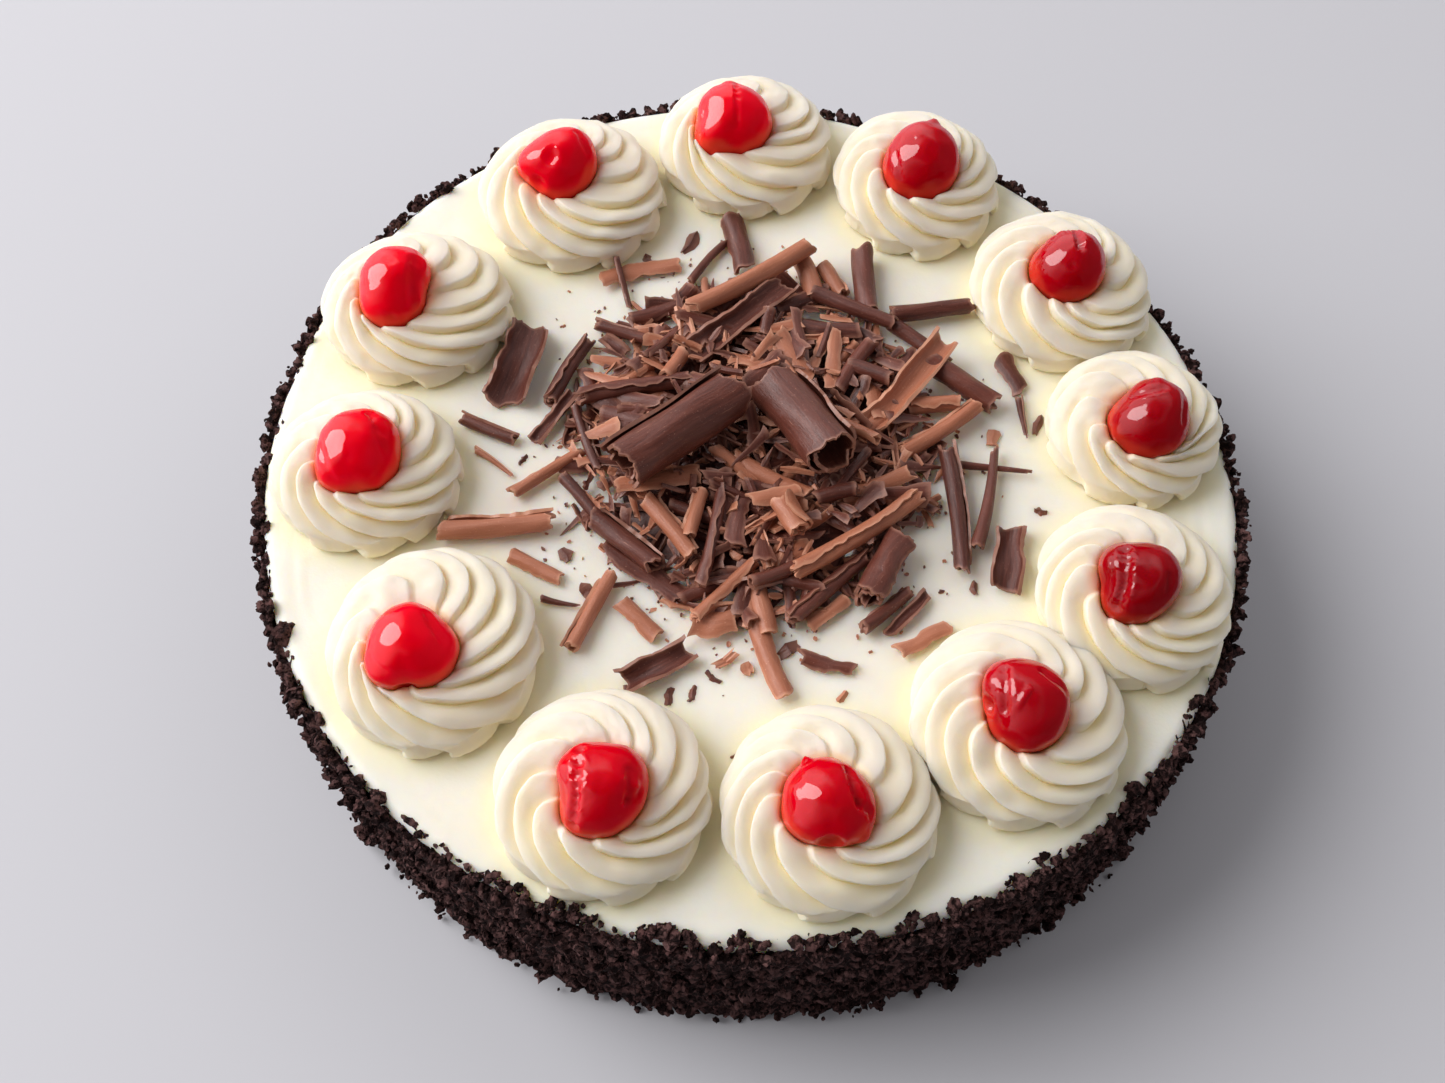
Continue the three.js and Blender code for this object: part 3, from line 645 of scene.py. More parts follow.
def cream_body():
    """Top with faint spatula marks, rounded lip, and the plain side under the crumbs."""
    columns = 240
    angle = circle(columns)
    flat = CREAM_RADIUS - CREAM_LIP
    radii = [*np.linspace(1.0, 100.0, 36), *np.linspace(100.8, flat, 20)]
    heights = [CAKE_HEIGHT] * len(radii)
    for bend in np.linspace(0, np.pi / 2, 8)[1:]:
        radii.append(flat + CREAM_LIP * math.sin(bend))
        heights.append(CAKE_HEIGHT - CREAM_LIP + CREAM_LIP * math.cos(bend))
    radii += [CREAM_RADIUS] * 3 + [60.0, 1.0]
    heights += [40.0, 20.0, 0.0, 0.0, 0.0]
    reach = np.array(radii)[:, None] * (1 + out_of_round(angle) / CREAM_RADIUS)
    points = polar(reach, angle, np.array(heights)[:, None]).reshape(-1, 3)
    on_top = points[:, 2] > CAKE_HEIGHT - CREAM_LIP
    centre_distance = np.hypot(points[:, 0], points[:, 1])
    sweep = np.sin(centre_distance / 2.6 + 1.5 * waves(points, 60, 1))
    near_edge = np.exp(-(((centre_distance - 113.5) / 3.6) ** 2))
    smears = np.sin(1.5 * centre_distance + 3 * waves(points, 110, 4)) * near_edge
    marks = 0.22 * waves(points, 34, 2) + 0.08 * sweep * np.clip(waves(points, 45, 3), 0, 1)
    marks += 0.1 * smears * np.clip(0.5 + waves(points, 50, 5), 0, 1)
    points[on_top, 2] += np.clip(marks[on_top], -0.4, 0.4) - 0.1
    # painted glow: the cream is painted a lighter, richer yellow in the narrow valleys at the rosettes'
    # feet, where shade falls
    nearest = np.full(len(points), np.inf)
    for x, y, wide, deep, *_ in ROSETTES:
        away = np.hypot((points[:, 0] - x) / wide, (points[:, 1] - y) / deep) - 1
        nearest = np.minimum(nearest, away)
    fields = {"painted_glow": 0.06 + 0.7 * fade(nearest, 0.24, 0), "stain": np.zeros(len(points))}
    faces = capped_faces(len(radii), columns)
    make_piece("cream_body", points, faces, fields, smooth_cream, ["cream_cake"])


# ---------------- rosettes


def smooth_profile(corners, steps):
    """Evenly spaced points on a smooth curve through the corners, and how far along it each lies."""
    corners = np.array(corners)
    padded = np.vstack([2 * corners[0] - corners[1], corners, 2 * corners[-1] - corners[-2]])
    t = np.linspace(0, 1, 24, endpoint=False)[:, None]
    spans = [spline(*padded[first : first + 4], t) for first in range(len(corners) - 1)]
    fine = np.vstack([*spans, corners[-1]])
    travelled = np.concatenate([[0], np.cumsum(np.linalg.norm(np.diff(fine, axis=0), axis=1))])
    wanted = np.linspace(0, travelled[-1], steps)
    return np.stack([np.interp(wanted, travelled, fine[:, k]) for k in (0, 1)], axis=1), wanted


def rosette_rows():
    """What is known of each row of a rosette's mesh, from the seat outwards, as columns.

    These are its distance from the middle and its height, the outward and the upward part of the
    direction out of the cream, where it lies from the crest (0) to the notch between the laps (1),
    and how much it belongs to the lower lap.
    """
    profile, travelled = smooth_profile(ROSETTE_PROFILE, 44)
    radial, height = profile.T
    slope = np.gradient(profile, axis=0)
    normal = np.stack([-slope[:, 1], slope[:, 0]], axis=1)
    normal /= np.linalg.norm(normal, axis=1)[:, None]
    outer_part = radial > 20
    crest = travelled[np.argmax(height)]
    notch = travelled[np.argmax(outer_part & (height < LOWER_LAP_TOP))]
    out = (travelled - crest) / (notch - crest)
    lower_lap = fade(height, LOWER_LAP_TOP, LOWER_LAP_TOP - 0.7) * outer_part
    return [values[:, None] for values in (radial, height, *normal.T, out, lower_lap)]


def ridge_heights(rng):
    """Height of the ridges at each column, 0 to 1: each climbs outwards and drops past its lip."""
    outwards = 1 - ACROSS_RIDGE
    climb = np.sin(np.pi / 2 * fade(outwards, 0, RIDGE_LIP)) ** 0.85
    drop = 0.5 + 0.5 * np.cos(np.pi * fade(outwards, RIDGE_LIP, 1))
    return np.outer(rng.uniform(0.78, 1.06, RIDGES), climb * drop).reshape(1, -1)


def rosette_skin(number, rng):
    """Angle, distance from the middle and height of a rosette's points, the depth of the cuts
    between its ridges, up to 1, and how calm its surface is, 0 to 1."""
    first_radial, first_height, normal_out, normal_up, out, lower_lap = rosette_rows()
    start = (np.arange(RIDGES)[:, None] + ACROSS_RIDGE).reshape(1, -1) * FULL_TURN / RIDGES
    ridge = ridge_heights(rng)
    uneven = [rng.uniform(0.03, 0.09) * np.sin(k * start + rng.uniform(0, FULL_TURN)) for k in (1, 2, 3)]
    winding = np.where(out > 0, RIDGE_SWEEP * np.clip(out, 0, 0.9) ** 1.15, 0.5 * out)
    angle = start + sum(uneven) + (winding + 0.1 * lower_lap) + 0.37 * number
    plain = polar(first_radial, angle, first_height).reshape(-1, 3)
    wavering = 0.018 * waves(plain, 2.6, 500 + number) + 0.03 * waves(plain, 8, 520 + number)
    angle = angle + wavering.reshape(angle.shape) * np.clip(out, 0, 1)
    calm_side = np.radians(rng.uniform(95, 140))
    calm = (0.5 * (1 + np.cos(angle - calm_side))) ** 2
    share = np.interp(out, list(RIDGE_DEPTHS), list(RIDGE_DEPTHS.values()))
    depth = share * (1 - 0.55 * calm)
    cut = RIDGE_DEPTH * depth * (1 - ridge)
    radial = first_radial - cut * normal_out
    height = first_height - cut * normal_up
    # the first lap of piping shows below the second, pushed a little to the front
    push = np.radians(rng.uniform(-110, -40))
    radial = radial + lower_lap * (1.4 * np.cos(angle - push) - 0.2)
    # the seat closes round the cherry as it is shaped there
    outward = polar(radial, angle, height - CHERRY_RISE)
    outward /= np.linalg.norm(outward, axis=-1)[..., None]
    swell = cherry_reach(number, outward.reshape(-1, 3)).reshape(angle.shape) - CHERRY_RADIUS
    swell = swell * fade(first_radial, SEAT_RIM, SEAT_RADIUS)
    radial = radial + swell * np.hypot(outward[..., 0], outward[..., 1])
    height = height + swell * outward[..., 2]
    return angle, radial, height, (1 - ridge) * depth, calm


def rosette(number, spec):
    """A rosette in its place: the foot is stretched to its width, the seat goes with the cherry."""
    x, y, wide, deep, cherry_x, cherry_y = spec
    rng = np.random.default_rng(40 + number)
    angle, radial, height, cut, calm = rosette_skin(number, rng)
    settled = fade(radial, 9.0, 18.0)
    shift = fade(radial, SEAT_RIM, SEAT_RADIUS) + fade(radial, SEAT_RADIUS, SEAT_RIM) * (1 - settled)
    points = polar(radial, angle, CAKE_HEIGHT + height)
    stretch = np.array([wide, deep]) / ROSETTE_RADIUS - 1
    points[..., :2] *= 1 + settled[..., None] * stretch
    points[..., :2] += np.array([x, y]) + np.minimum(shift, 1)[..., None] * np.array([cherry_x, cherry_y])
    points = points.reshape(-1, 3)
    folds = 0.14 * waves(points, 3.4, 300 + number) * (0.15 + calm.ravel())
    lift = 0.25 * waves(points, 11, 200 + number) + folds + 0.02 * waves(points, 1.3, 350 + number)
    points[:, 2] += lift * (points[:, 2] > CAKE_HEIGHT + 1)
    points[:, 2] = np.maximum(points[:, 2], CAKE_HEIGHT - 0.4)
    # cherry juice has run out at the lower left; a painted glow makes the cream lighter and yellower where
    # it is deep, for the warm light in its shade
    from_cherry = points[:, :2] - np.array([x + cherry_x, y + cherry_y])
    near = np.hypot(*from_cherry.T) - CHERRY_RADIUS
    turned = np.arctan2(from_cherry[:, 1], from_cherry[:, 0])
    lower_left = 0.5 + 0.5 * np.cos(turned - np.radians(-150))
    patchy = np.clip(0.5 + 0.5 * waves(points, 7, 400 + number), 0.1, 1)
    stain = fade(near, 3.5, 0) ** 1.5 * patchy * lower_left
    # painted glow: also lighter and yellower towards the foot and right next to the cherry
    low = np.maximum(0.9 * fade(points[:, 2], CAKE_HEIGHT + 7, CAKE_HEIGHT), fade(near, 1.5, 0))
    fields = {"painted_glow": np.maximum(cut.ravel(), low), "stain": stain}
    name = f"rosette_{number:02d}"
    make_piece(f"piped_{name}", points, capped_faces(*angle.shape), fields, piped_cream, [name])


# ---------------- cherries


def towards_viewer():
    """Right, up and forward directions of a picture taken from the front and above."""
    climb = math.radians(VIEW_ELEVATION)
    right = np.array([1.0, 0.0, 0.0])
    up = np.array([0.0, math.sin(climb), math.cos(climb)])
    forward = np.array([0.0, -math.cos(climb), math.sin(climb)])
    return right, up, forward


def closed_curve(values, place):
    """Smooth closed curve through the evenly spaced values; the place runs from 0 to 1 round it."""
    values = np.array(values)
    count = len(values)
    step = np.floor(place * count).astype(int)
    t = place * count - step
    return spline(*(values[(step + shift) % count] for shift in (-1, 0, 1, 2)), t)


def cherry_reach(number, outward):
    """Distance of a cherry's skin from its centre along each of the outward directions."""
    right, up, forward = towards_viewer()
    across, above = outward @ right, outward @ up
    outline = closed_curve(CHERRY_OUTLINES[number - 1], np.arctan2(above, across) / FULL_TURN % 1)
    off_centre = np.hypot(across, above) ** 1.5
    reach = outline * off_centre + 0.98 * CHERRY_RADIUS * (1 - off_centre)
    reach += 0.12 * waves(outward, 1.2, 800 + number) + 0.09 * waves(outward, 0.5, 900 + number)
    for lump_across, lump_up, size, rise, *end in CHERRY_LUMPS[number - 1]:
        last_across, last_up = end or (lump_across, lump_up)
        nearest = np.full(len(outward), -1.0)
        for share in np.linspace(0, 1, 8 if end else 1):
            here_across = lump_across + share * (last_across - lump_across)
            here_up = lump_up + share * (last_up - lump_up)
            nearer = math.sqrt(max(0, 1 - here_across**2 - here_up**2))
            direction = here_across * right + here_up * up + nearer * forward
            nearest = np.maximum(nearest, outward @ (direction / np.linalg.norm(direction)))
        apart = np.arccos(np.clip(nearest, -1, 1)) / math.radians(size)
        reach += rise * np.exp(-(apart**3))
        # the flesh swells up a little round a dent
        reach -= 0.25 * min(rise, 0) * np.exp(-(((apart - 1.4) / 0.35) ** 2))
    return reach


def glace_cherry(number, spec):
    """A cherry with its dents and folds, in the seat of its rosette."""
    x, y, _, _, cherry_x, cherry_y = spec
    columns, rows = 66, 40
    tilt = np.linspace(0.02, np.pi - 0.02, rows)[:, None]
    outward = polar(np.sin(tilt), circle(columns), np.cos(tilt)).reshape(-1, 3)
    points = outward * cherry_reach(number, outward)[:, None]
    points += np.array([x + cherry_x, y + cherry_y, CAKE_HEIGHT + CHERRY_RISE])
    # painted glow: low on the flank the skin is painted orange, for the light of the cream that shines
    # through the flesh
    painted_cream_glow = np.clip((0.3 - outward[:, 2] + 0.15 * waves(outward, 0.9, 700 + number)) / 0.2, 0, 1)
    darker_red = CHERRY_DARKER_RED[number - 1]
    fields = {"darker_red": np.full(len(points), darker_red), "painted_cream_glow": painted_cream_glow * (1 - 0.65 * darker_red)}
    name = f"cherry_{number:02d}"
    make_piece(f"glace_{name}", points, capped_faces(rows, columns), fields, cherry_red, [name])


# ---------------- crumb coat


def rough_field(points, size, octaves):
    """Fractal noise of about -1 to 1 at each point."""
    total = np.zeros(len(points))
    for octave in range(octaves):
        finer = 2.1**octave / size
        values = [noise.noise(Vector(p)) for p in (points + 31.7 * octave) * finer]
        total += np.array(values) * 0.6**octave
    return total * 1.4


def lumpy_field(points, size):
    """Round grains packed side by side: 1 at the middle of a grain, 0 in the cracks between."""
    values = np.array([noise.voronoi(Vector(p))[0][:2] for p in points / size])
    return np.clip((values[:, 1] - values[:, 0]) * 1.6, 0, 1) ** 0.5


def coat_radius(height):
    """Outside of the crumb coat at a height: it stands out further towards its foot."""
    return COAT_RADIUS + FOOT_FLARE * fade(height, CAKE_HEIGHT, 0) ** 1.5


def lip_height(radius):
    """Height of the cream's top and rounded edge at a distance from the middle."""
    past_flat = np.clip(radius - (CREAM_RADIUS - CREAM_LIP), 0, CREAM_LIP)
    return CAKE_HEIGHT - CREAM_LIP + np.sqrt(CREAM_LIP**2 - past_flat**2)


def coat_rim(angle):
    """How far inwards over the cream's edge the crumbs reach: most at the front."""
    around = polar(PATTERN_RADIUS, angle, 0)
    front = np.clip(-np.sin(angle) - 0.25, 0, 1)
    jagged = 0.9 * waves(around, 16, 11) + 0.9 * waves(around, 6, 12) + 0.5 * waves(around, 3, 15)
    return np.maximum(1.2 + 1.7 * front + (0.8 + 0.6 * front) * jagged, 0.2)


def crumb_bed():
    """Porous skin of sponge between and behind the single crumbs, up to the cream's rounded edge."""
    columns, low_rows, rim_rows = 760, 44, 8
    angle = circle(columns)
    low = np.linspace(0.9, RIM_START, low_rows)[:, None] * np.ones((1, columns))
    # the last rows climb on and then fold inwards over the lip, along this way from 0 to 1
    fold = np.linspace(0, 1, rim_rows + 1)[1:, None]
    turn = 0.3
    inwards = (BED_THICKNESS + coat_rim(angle)) * fade(fold, turn, 1)
    rim_radius = CREAM_RADIUS + BED_THICKNESS - inwards
    climb = RIM_START + (CAKE_HEIGHT - CREAM_LIP - RIM_START) * fade(fold, 0, turn)
    rim_height = np.where(fold < turn, climb, lip_height(rim_radius) + 0.7 - 1.1 * fold)
    radius = np.vstack([coat_radius(low) - COAT_RADIUS + CREAM_RADIUS + BED_THICKNESS, rim_radius])
    height = np.vstack([low, rim_height])
    folded = np.repeat([*np.zeros(low_rows), *fold[:, 0]], columns)
    points = on_cake(radius, angle, height).reshape(-1, 3)
    grains = lumpy_field(points, 4.6)
    small_grains = lumpy_field(points + 50, 2.0)
    holes = np.clip(rough_field(points, 2.8, 2) - 0.3, 0, 1)
    relief = 1.9 * grains + 0.9 * small_grains - 3.6 * holes + 0.5 * rough_field(points, 1.2, 2)
    outward = points[:, :2] / np.linalg.norm(points[:, :2], axis=1)[:, None]
    push = np.clip(relief - 1.9, 0.3 - BED_THICKNESS, 1.4)
    points[:, :2] += outward * (push * (1 - folded))[:, None]
    loose = folded < 1
    points[:, 2] += np.clip(relief - 1.2, -0.5, 1.2) * folded * loose
    points[:, 2] += 0.35 * rough_field(points + 90, 1.6, 1) * loose
    # painted light and shade: raised grains are painted paler, the holes between them stay dark
    fields = {"tone": np.clip(0.35 * (relief - 0.6), 0, 1)}
    faces = grid_faces(low_rows + rim_rows, columns)
    make_piece("crumb_bed", points, faces, fields, crumb, ["crumb_coat"])


def unit_sphere(subdivisions):
    made = bmesh.new()
    bmesh.ops.create_icosphere(made, subdivisions=subdivisions, radius=1.0)
    points = np.array([v.co[:] for v in made.verts])
    faces = np.array([[v.index for v in f.verts] for f in made.faces])
    made.free()
    return points, faces


def crumb_shapes(count, subdivisions, seed):
    """A few rough crumbs about 1 across the radius, and the faces that they share."""
    sphere, faces = unit_sphere(subdivisions)
    shapes = []
    for number in range(count):
        shift = np.array([seed + 7.3 * number, 3.1 * number, 0.7 * seed])
        lumps = 0.55 * lumpy_field(sphere + shift, 0.85) - 0.35
        rough = 0.34 * rough_field(sphere + shift, 0.95, 1) + 0.22 * rough_field(sphere - shift, 0.4, 1)
        shapes.append(sphere * (1 + lumps + rough)[:, None])
    return np.array(shapes), faces


def random_turns(rng, count):
    """Rotation matrices, evenly random."""
    q = rng.normal(size=(count, 4))
    q /= np.linalg.norm(q, axis=1)[:, None]
    w, x, y, z = q.T
    rows = [
        [1 - 2 * (y * y + z * z), 2 * (x * y - w * z), 2 * (x * z + w * y)],
        [2 * (x * y + w * z), 1 - 2 * (x * x + z * z), 2 * (y * z - w * x)],
        [2 * (x * z - w * y), 2 * (y * z + w * x), 1 - 2 * (x * x + y * y)],
    ]
    return np.moveaxis(np.array(rows), 2, 0)


def crumbs_piece(name, centres, sizes, variety, rng, smooth=True):
    """Irregular crumbs, one at each centre, as one mesh made from arrays."""
    shapes, faces = variety
    count, corners = len(centres), shapes.shape[1]
    squash = rng.uniform(0.55, 1.2, (count, 1, 3)) * (sizes / 2)[:, None, None]
    points = shapes[rng.integers(len(shapes), size=count)] * squash
    points = np.einsum("nij,nvj->nvi", random_turns(rng, count), points) + centres[:, None, :]
    points[..., 2] = np.maximum(points[..., 2], 0.05)
    all_faces = faces + (np.arange(count) * corners)[:, None, None]
    all_faces = all_faces.reshape(-1, 3).tolist()
    fields = {"tone": np.repeat(rng.random(count) ** 1.5, corners)}
    make_piece(name, points.reshape(-1, 3), all_faces, fields, crumb, ["crumb_coat"], smooth)


def rim_crumbs(rng, count, smallest, largest):
    """Centres and sizes of the crumbs that stick to the cream's rounded edge."""
    sizes = smallest + (largest - smallest) * rng.random(count) ** 1.5
    angle = rng.uniform(0, FULL_TURN, count)
    inwards = rng.random(count) * (coat_rim(angle) + 2 - 0.3 * sizes) - 2
    radius = CREAM_RADIUS + 0.2 - inwards
    return on_cake(radius, angle, lip_height(radius) + 0.22 * sizes), sizes


def coat_crumbs(rng, count, smallest, largest):
    """Centres and sizes of crumbs on the side, the shoulder and the cream's edge."""
    sizes = smallest + (largest - smallest) * rng.random(count) ** 1.4
    angle = rng.uniform(0, FULL_TURN, count)
    climb = rng.random(count)
    shoulder = CAKE_HEIGHT - 2.6
    height = sizes * 0.3 + shoulder * climb
    clumps = waves(polar(PATTERN_RADIUS, angle, height), 13, 13)
    radius = coat_radius(height) - 0.5 + 0.8 * clumps + rng.normal(0, 0.5, count) - 0.12 * sizes
    # the last part of the way up turns in over the lip
    lip = climb > 0.92
    fold = (climb[lip] - 0.92) / 0.08
    radius[lip] -= fold * np.maximum(coat_rim(angle[lip]) + 1.4, 0)
    height[lip] = shoulder + 2.7 * np.sqrt(fold) + 0.1 * sizes[lip]
    return on_cake(radius, angle, height), sizes


def spilt_crumbs(rng):
    """Clumps that reach from the coat over the cream's edge, narrower towards their tip."""
    centres, sizes = [], []
    for x, y, width in SPILT_CLUMPS:
        angle = math.atan2(y, x)
        edge = CREAM_RADIUS + float(out_of_round(angle)) + 0.5
        depth = max(edge - math.hypot(x, y) + 1, 1)
        for _ in range(int(3.2 * width)):
            size = rng.uniform(1.1, 2.5)
            shift = rng.uniform(-0.5, 0.5) * width
            radius = edge - rng.random() ** 0.8 * depth * (1 - (2 * shift / width) ** 2)
            centres.append(polar(radius, angle + shift / radius, CAKE_HEIGHT + 0.2 * size))
            sizes.append(size)
    return np.array(centres), np.array(sizes)


def crumb_coat():
    crumb_bed()
    rng = np.random.default_rng(31)
    coarse, middling, fine = crumb_shapes(12, 3, 5), crumb_shapes(16, 2, 9), crumb_shapes(12, 1, 3)
    # where they stick, how many, the smallest and largest, their shapes, smooth or not
    layers = {
        "coarse": (coat_crumbs, 250, 3.2, 5.6, coarse, True),
        "middling": (coat_crumbs, 1150, 1.8, 3.6, middling, True),
        "fine": (coat_crumbs, 1500, 0.9, 1.9, fine, False),
        "rim_coarse": (rim_crumbs, 120, 3.0, 4.8, coarse, True),
        "rim": (rim_crumbs, 700, 1.2, 3.4, middling, True),
    }
    for name, (stick, count, smallest, largest, shapes, smooth) in layers.items():
        crumbs_piece(f"crumbs_{name}", *stick(rng, count, smallest, largest), shapes, rng, smooth)
    crumbs_piece("crumbs_spilt", *spilt_crumbs(rng), middling, rng)


# ---------------- chocolate


def laid(points, x, y, lift, heading, pitch=0.0, roll=0.0):
    """Points set in their place on the cake; the heading is in degrees, pitch and roll in radians."""
    turn = Matrix.Rotation(math.radians(heading), 3, "Z")
    turn = turn @ Matrix.Rotation(pitch, 3, "Y") @ Matrix.Rotation(roll, 3, "X")
    return points @ np.array(turn).T + np.array([x, y, CAKE_HEIGHT + lift])


class Shavings:
    """Gathers many shavings, and makes one piece of those of each tone."""

    def __init__(self):
        self.bodies = {tone: [] for tone in chocolate}

    def add(self, tone, body, *place, lowest=-np.inf):
        """Lays a body down; what would lie below the lowest height over the cream is flattened."""
        points, faces, fields = body
        points = laid(points, *place)
        points[:, 2] = np.maximum(points[:, 2], CAKE_HEIGHT + lowest)
        self.bodies[tone].append((points, faces, fields))

    def pieces(self, name, nodes=("shavings",), smooth=True):
        for tone, bodies in self.bodies.items():
            all_points, body_faces, body_fields = zip(*bodies)
            all_faces = []
            first = 0
            for points, faces in zip(all_points, body_faces):
                all_faces += [[i + first for i in face] for face in faces]
                first += len(points)
            fields = {k: np.concatenate([f[k] for f in body_fields]) for k in body_fields[0]}
            points = np.concatenate(all_points)
            make_piece(f"{name}_{tone}", points, all_faces, fields, chocolate[tone], nodes, smooth)


def rough_line(rng, steps, length):
    """Random ups and downs of about -1 to 1 along a broken edge of the given length."""
    place = np.linspace(0, 1, steps)
    line = 0.1 * rng.uniform(-1, 1, steps)
    for spacing, share in ((5.0, 0.6), (1.6, 0.35)):
        corners = max(3, round(length / spacing) + 1)
        line += share * np.interp(place, np.linspace(0, 1, corners), rng.uniform(-1, 1, corners))
    return line


def rolled_shaving(kind, length, width, rng, step, spin=None):
    """Points, faces and fields of a shaving along X, its lowest point at height 0."""
    turn_degrees, open_up, taper = KINDS[kind]
    turn = math.radians(turn_degrees)
    radius = width / 2 / math.sin(min(turn / 2, math.pi / 2))
    arc = turn * radius
    around = max(5, math.ceil(arc / step))
    along = max(6, math.ceil(length / step))
    u = np.linspace(0, 1, around)[:, None]
    v = np.linspace(0, 1, along)[None, :]
    sheet = min(0.8, 0.2 * width)
    closed = turn > 1.5 * math.pi
    wound = min(sheet + 0.4 + 0.03 * width, 0.35 * radius) if closed else 0.0
    if spin is None:
        spin = rng.uniform(-1.4, 2.4) if closed else 0.0
    torn = min(0.8 + 0.06 * length, 0.25 * length)
    ends = [torn * rough_line(rng, around, arc)[:, None] for _ in range(2)]
    torn = min(0.32 * width, 1.6) / radius
    sides = [torn * rough_line(rng, along, length)[None, :] for _ in range(2)]
    x = (v - 0.5) * length + (1 - v) ** 3 * ends[0] + v**3 * ends[1]
    twist = rng.uniform(-0.35, 0.35) * (v - 0.5)
    angle = math.pi / 2 + turn * (0.5 - u) + spin + twist
    angle = angle + (1 - u) ** 3 * sides[0] + u**3 * sides[1]
    uneven = 1 + 0.04 * np.sin(3 * angle + 2.5 * v * math.pi + rng.uniform(0, 6))
    ribs = min(0.22, 0.035 * width) * rough_line(rng, around, arc)[:, None]
    outer = (radius + ribs - wound * turn * u / FULL_TURN) * uneven * (1 - taper * v)
    thickness = sheet * (1 + 0.25 * np.sin(7 * v + 5 * u + rng.uniform(0, 6)))
    inner = np.maximum(outer - thickness, 0.05)
    side = -1.0 if open_up else 1.0
    bend = rng.uniform(-0.035, 0.035) * length * (2 * v - 1) ** 2
    layers = []
    for reach in (outer, inner):
        y, z = side * reach * np.cos(angle) + bend, side * reach * np.sin(angle)
        layers.append(np.stack([x, y, z], axis=-1).reshape(-1, 3))
    points = np.concatenate(layers)
    points[:, 2] -= points[:, 2].min()
    border = np.minimum(np.minimum(u, 1 - u) * arc, np.minimum(v, 1 - v) * length)
    start = rng.uniform(0, 500)
    fields = {
        "tone": np.full(len(points), rng.random() * (0.4 if open_up else 1.0)),
        # pale rims, partly a painted highlight along the border
        "edge": np.tile(fade(border, 0.55, 0).ravel(), 2),
        "along": np.tile(x.ravel() + start, 2),
        "across": np.tile(np.repeat(u * arc, along) + start, 2),
    }
    return points, sheet_faces(around, along), fields


def splinter(rng, length, width):
    """Points, faces and fields of a thin curved chip with a broken outline, along X."""
    steps = 5
    v = np.linspace(0, 1, steps)
    half = width / 2 * (1 - (2 * v - 1) ** 2 * rng.uniform(0.1, 0.85)) * rng.uniform(0.75, 1.25, steps)
    middle = rng.uniform(-0.1, 0.1, steps) * width
    curl = rng.uniform(-0.25, 0.5) * width
    thick = rng.uniform(0.3, 0.7)
    x = (v - 0.5) * length + rng.uniform(-0.08, 0.08, steps) * length
    # its left rim, the ridge along its middle and its right rim
    sides = np.array([1, 0, -1])[:, None]
    top = np.stack(np.broadcast_arrays(x, middle + sides * half, -curl * abs(sides)), axis=-1).reshape(-1, 3)
    points = np.concatenate([top, top - np.array([0, 0, thick])])
    start = rng.uniform(0, 500)
    fields = {
        "tone": np.full(len(points), rng.random()),
        # pale rims, partly a painted highlight along the border
        "edge": np.tile(np.repeat([0.7, 0.0, 0.7], steps), 2),
        "along": points[:, 0] + start,
        "across": points[:, 1] + start,
    }
    return points, turned_over(sheet_faces(len(sides), steps)), fields


def heap_point(reach, angle):
    """Place in the heap, from its middle (0) to its edge (1)."""
    x = HEAP_CENTRE[0] + reach * HEAP_REACH[0] * np.cos(angle)
    y = HEAP_CENTRE[1] + reach * HEAP_REACH[1] * np.sin(angle)
    return x, y


def heap_height(x, y):
    """Height of the heap over the cream."""
    reach = np.hypot((x - HEAP_CENTRE[0]) / HEAP_REACH[0], (y - HEAP_CENTRE[1]) / HEAP_REACH[1])
    return HEAP_HEIGHT * np.maximum(0, 1 - reach**2.5)


def heap_place(rng, crowding):
    """A random place in the heap and how far out it lies, 0 to 1."""
    reach = rng.random() ** crowding
    return *heap_point(reach, rng.uniform(0, FULL_TURN)), reach


def random_tone(rng, milk_share):
    return "milk" if rng.random() < milk_share else "dark"


def single_shaving(name, spec, node, seed, step, spin=None):
    """A curl as a piece of its own; it closes the gap that its solid keeps above the cream."""
    kind, tone, x, y, lift, heading, length, width, rise = spec
    rng = np.random.default_rng(seed)
    points, faces, fields = rolled_shaving(kind, length, width, rng, step, spin)
    points = laid(points, x, y, lift - GAP, heading, -math.radians(rise))
    make_piece(name, points, faces, fields, chocolate[tone], [node])


def heap_core():
    """Low dark mound that fills the space under the shavings, kept at the deepest colour as painted shade in
    the gaps between them.
    """
    columns, rows = 150, 36
    rng = np.random.default_rng(21)
    angle = circle(columns)
    ring = np.linspace(0.02, 0.8, rows)[:, None]
    lobes = 1 + 0.05 * np.sin(3 * angle + 1) + 0.04 * np.sin(7 * angle)
    x, y = heap_point(ring * lobes, angle)
    z = CAKE_HEIGHT - 0.3 + heap_height(x, y) * 0.45 - 12 * np.maximum(ring - 0.66, 0)
    points = np.stack([x, y, z], axis=-1).reshape(-1, 3)
    rough = 0.5 * waves(points, 4, 22) + 0.4 * waves(points, 2, 23) + 0.2 * rng.normal(size=len(points))
    points[:, 2] += rough * np.repeat(np.clip(3 - 4.5 * ring[:, 0], 0, 1), columns)
    # no pale tone and no pale rims: the mound is the deepest colour, painted shade in the heap's gaps
    plain = np.zeros(len(points))
    fields = {"tone": plain, "edge": plain, "along": points[:, 0], "across": points[:, 1]}
    faces = capped_faces(rows, columns)
    make_piece("heap_core", points, faces, fields, chocolate["dark"], ["shavings"], False)


def heap_shavings():
    """The large shavings of the heap, each in its place."""
    gathered = Shavings()
    for number, (kind, tone, x, y, lift, heading, length, width) in enumerate(HEAP_SHAVINGS):
        rng = np.random.default_rng(1000 + number)
        body = rolled_shaving(kind, length, width, rng, 0.9)
        gathered.add(tone, body, x, y, lift + 0.4, heading, rng.uniform(-0.06, 0.06))
    gathered.pieces("heap_shavings")


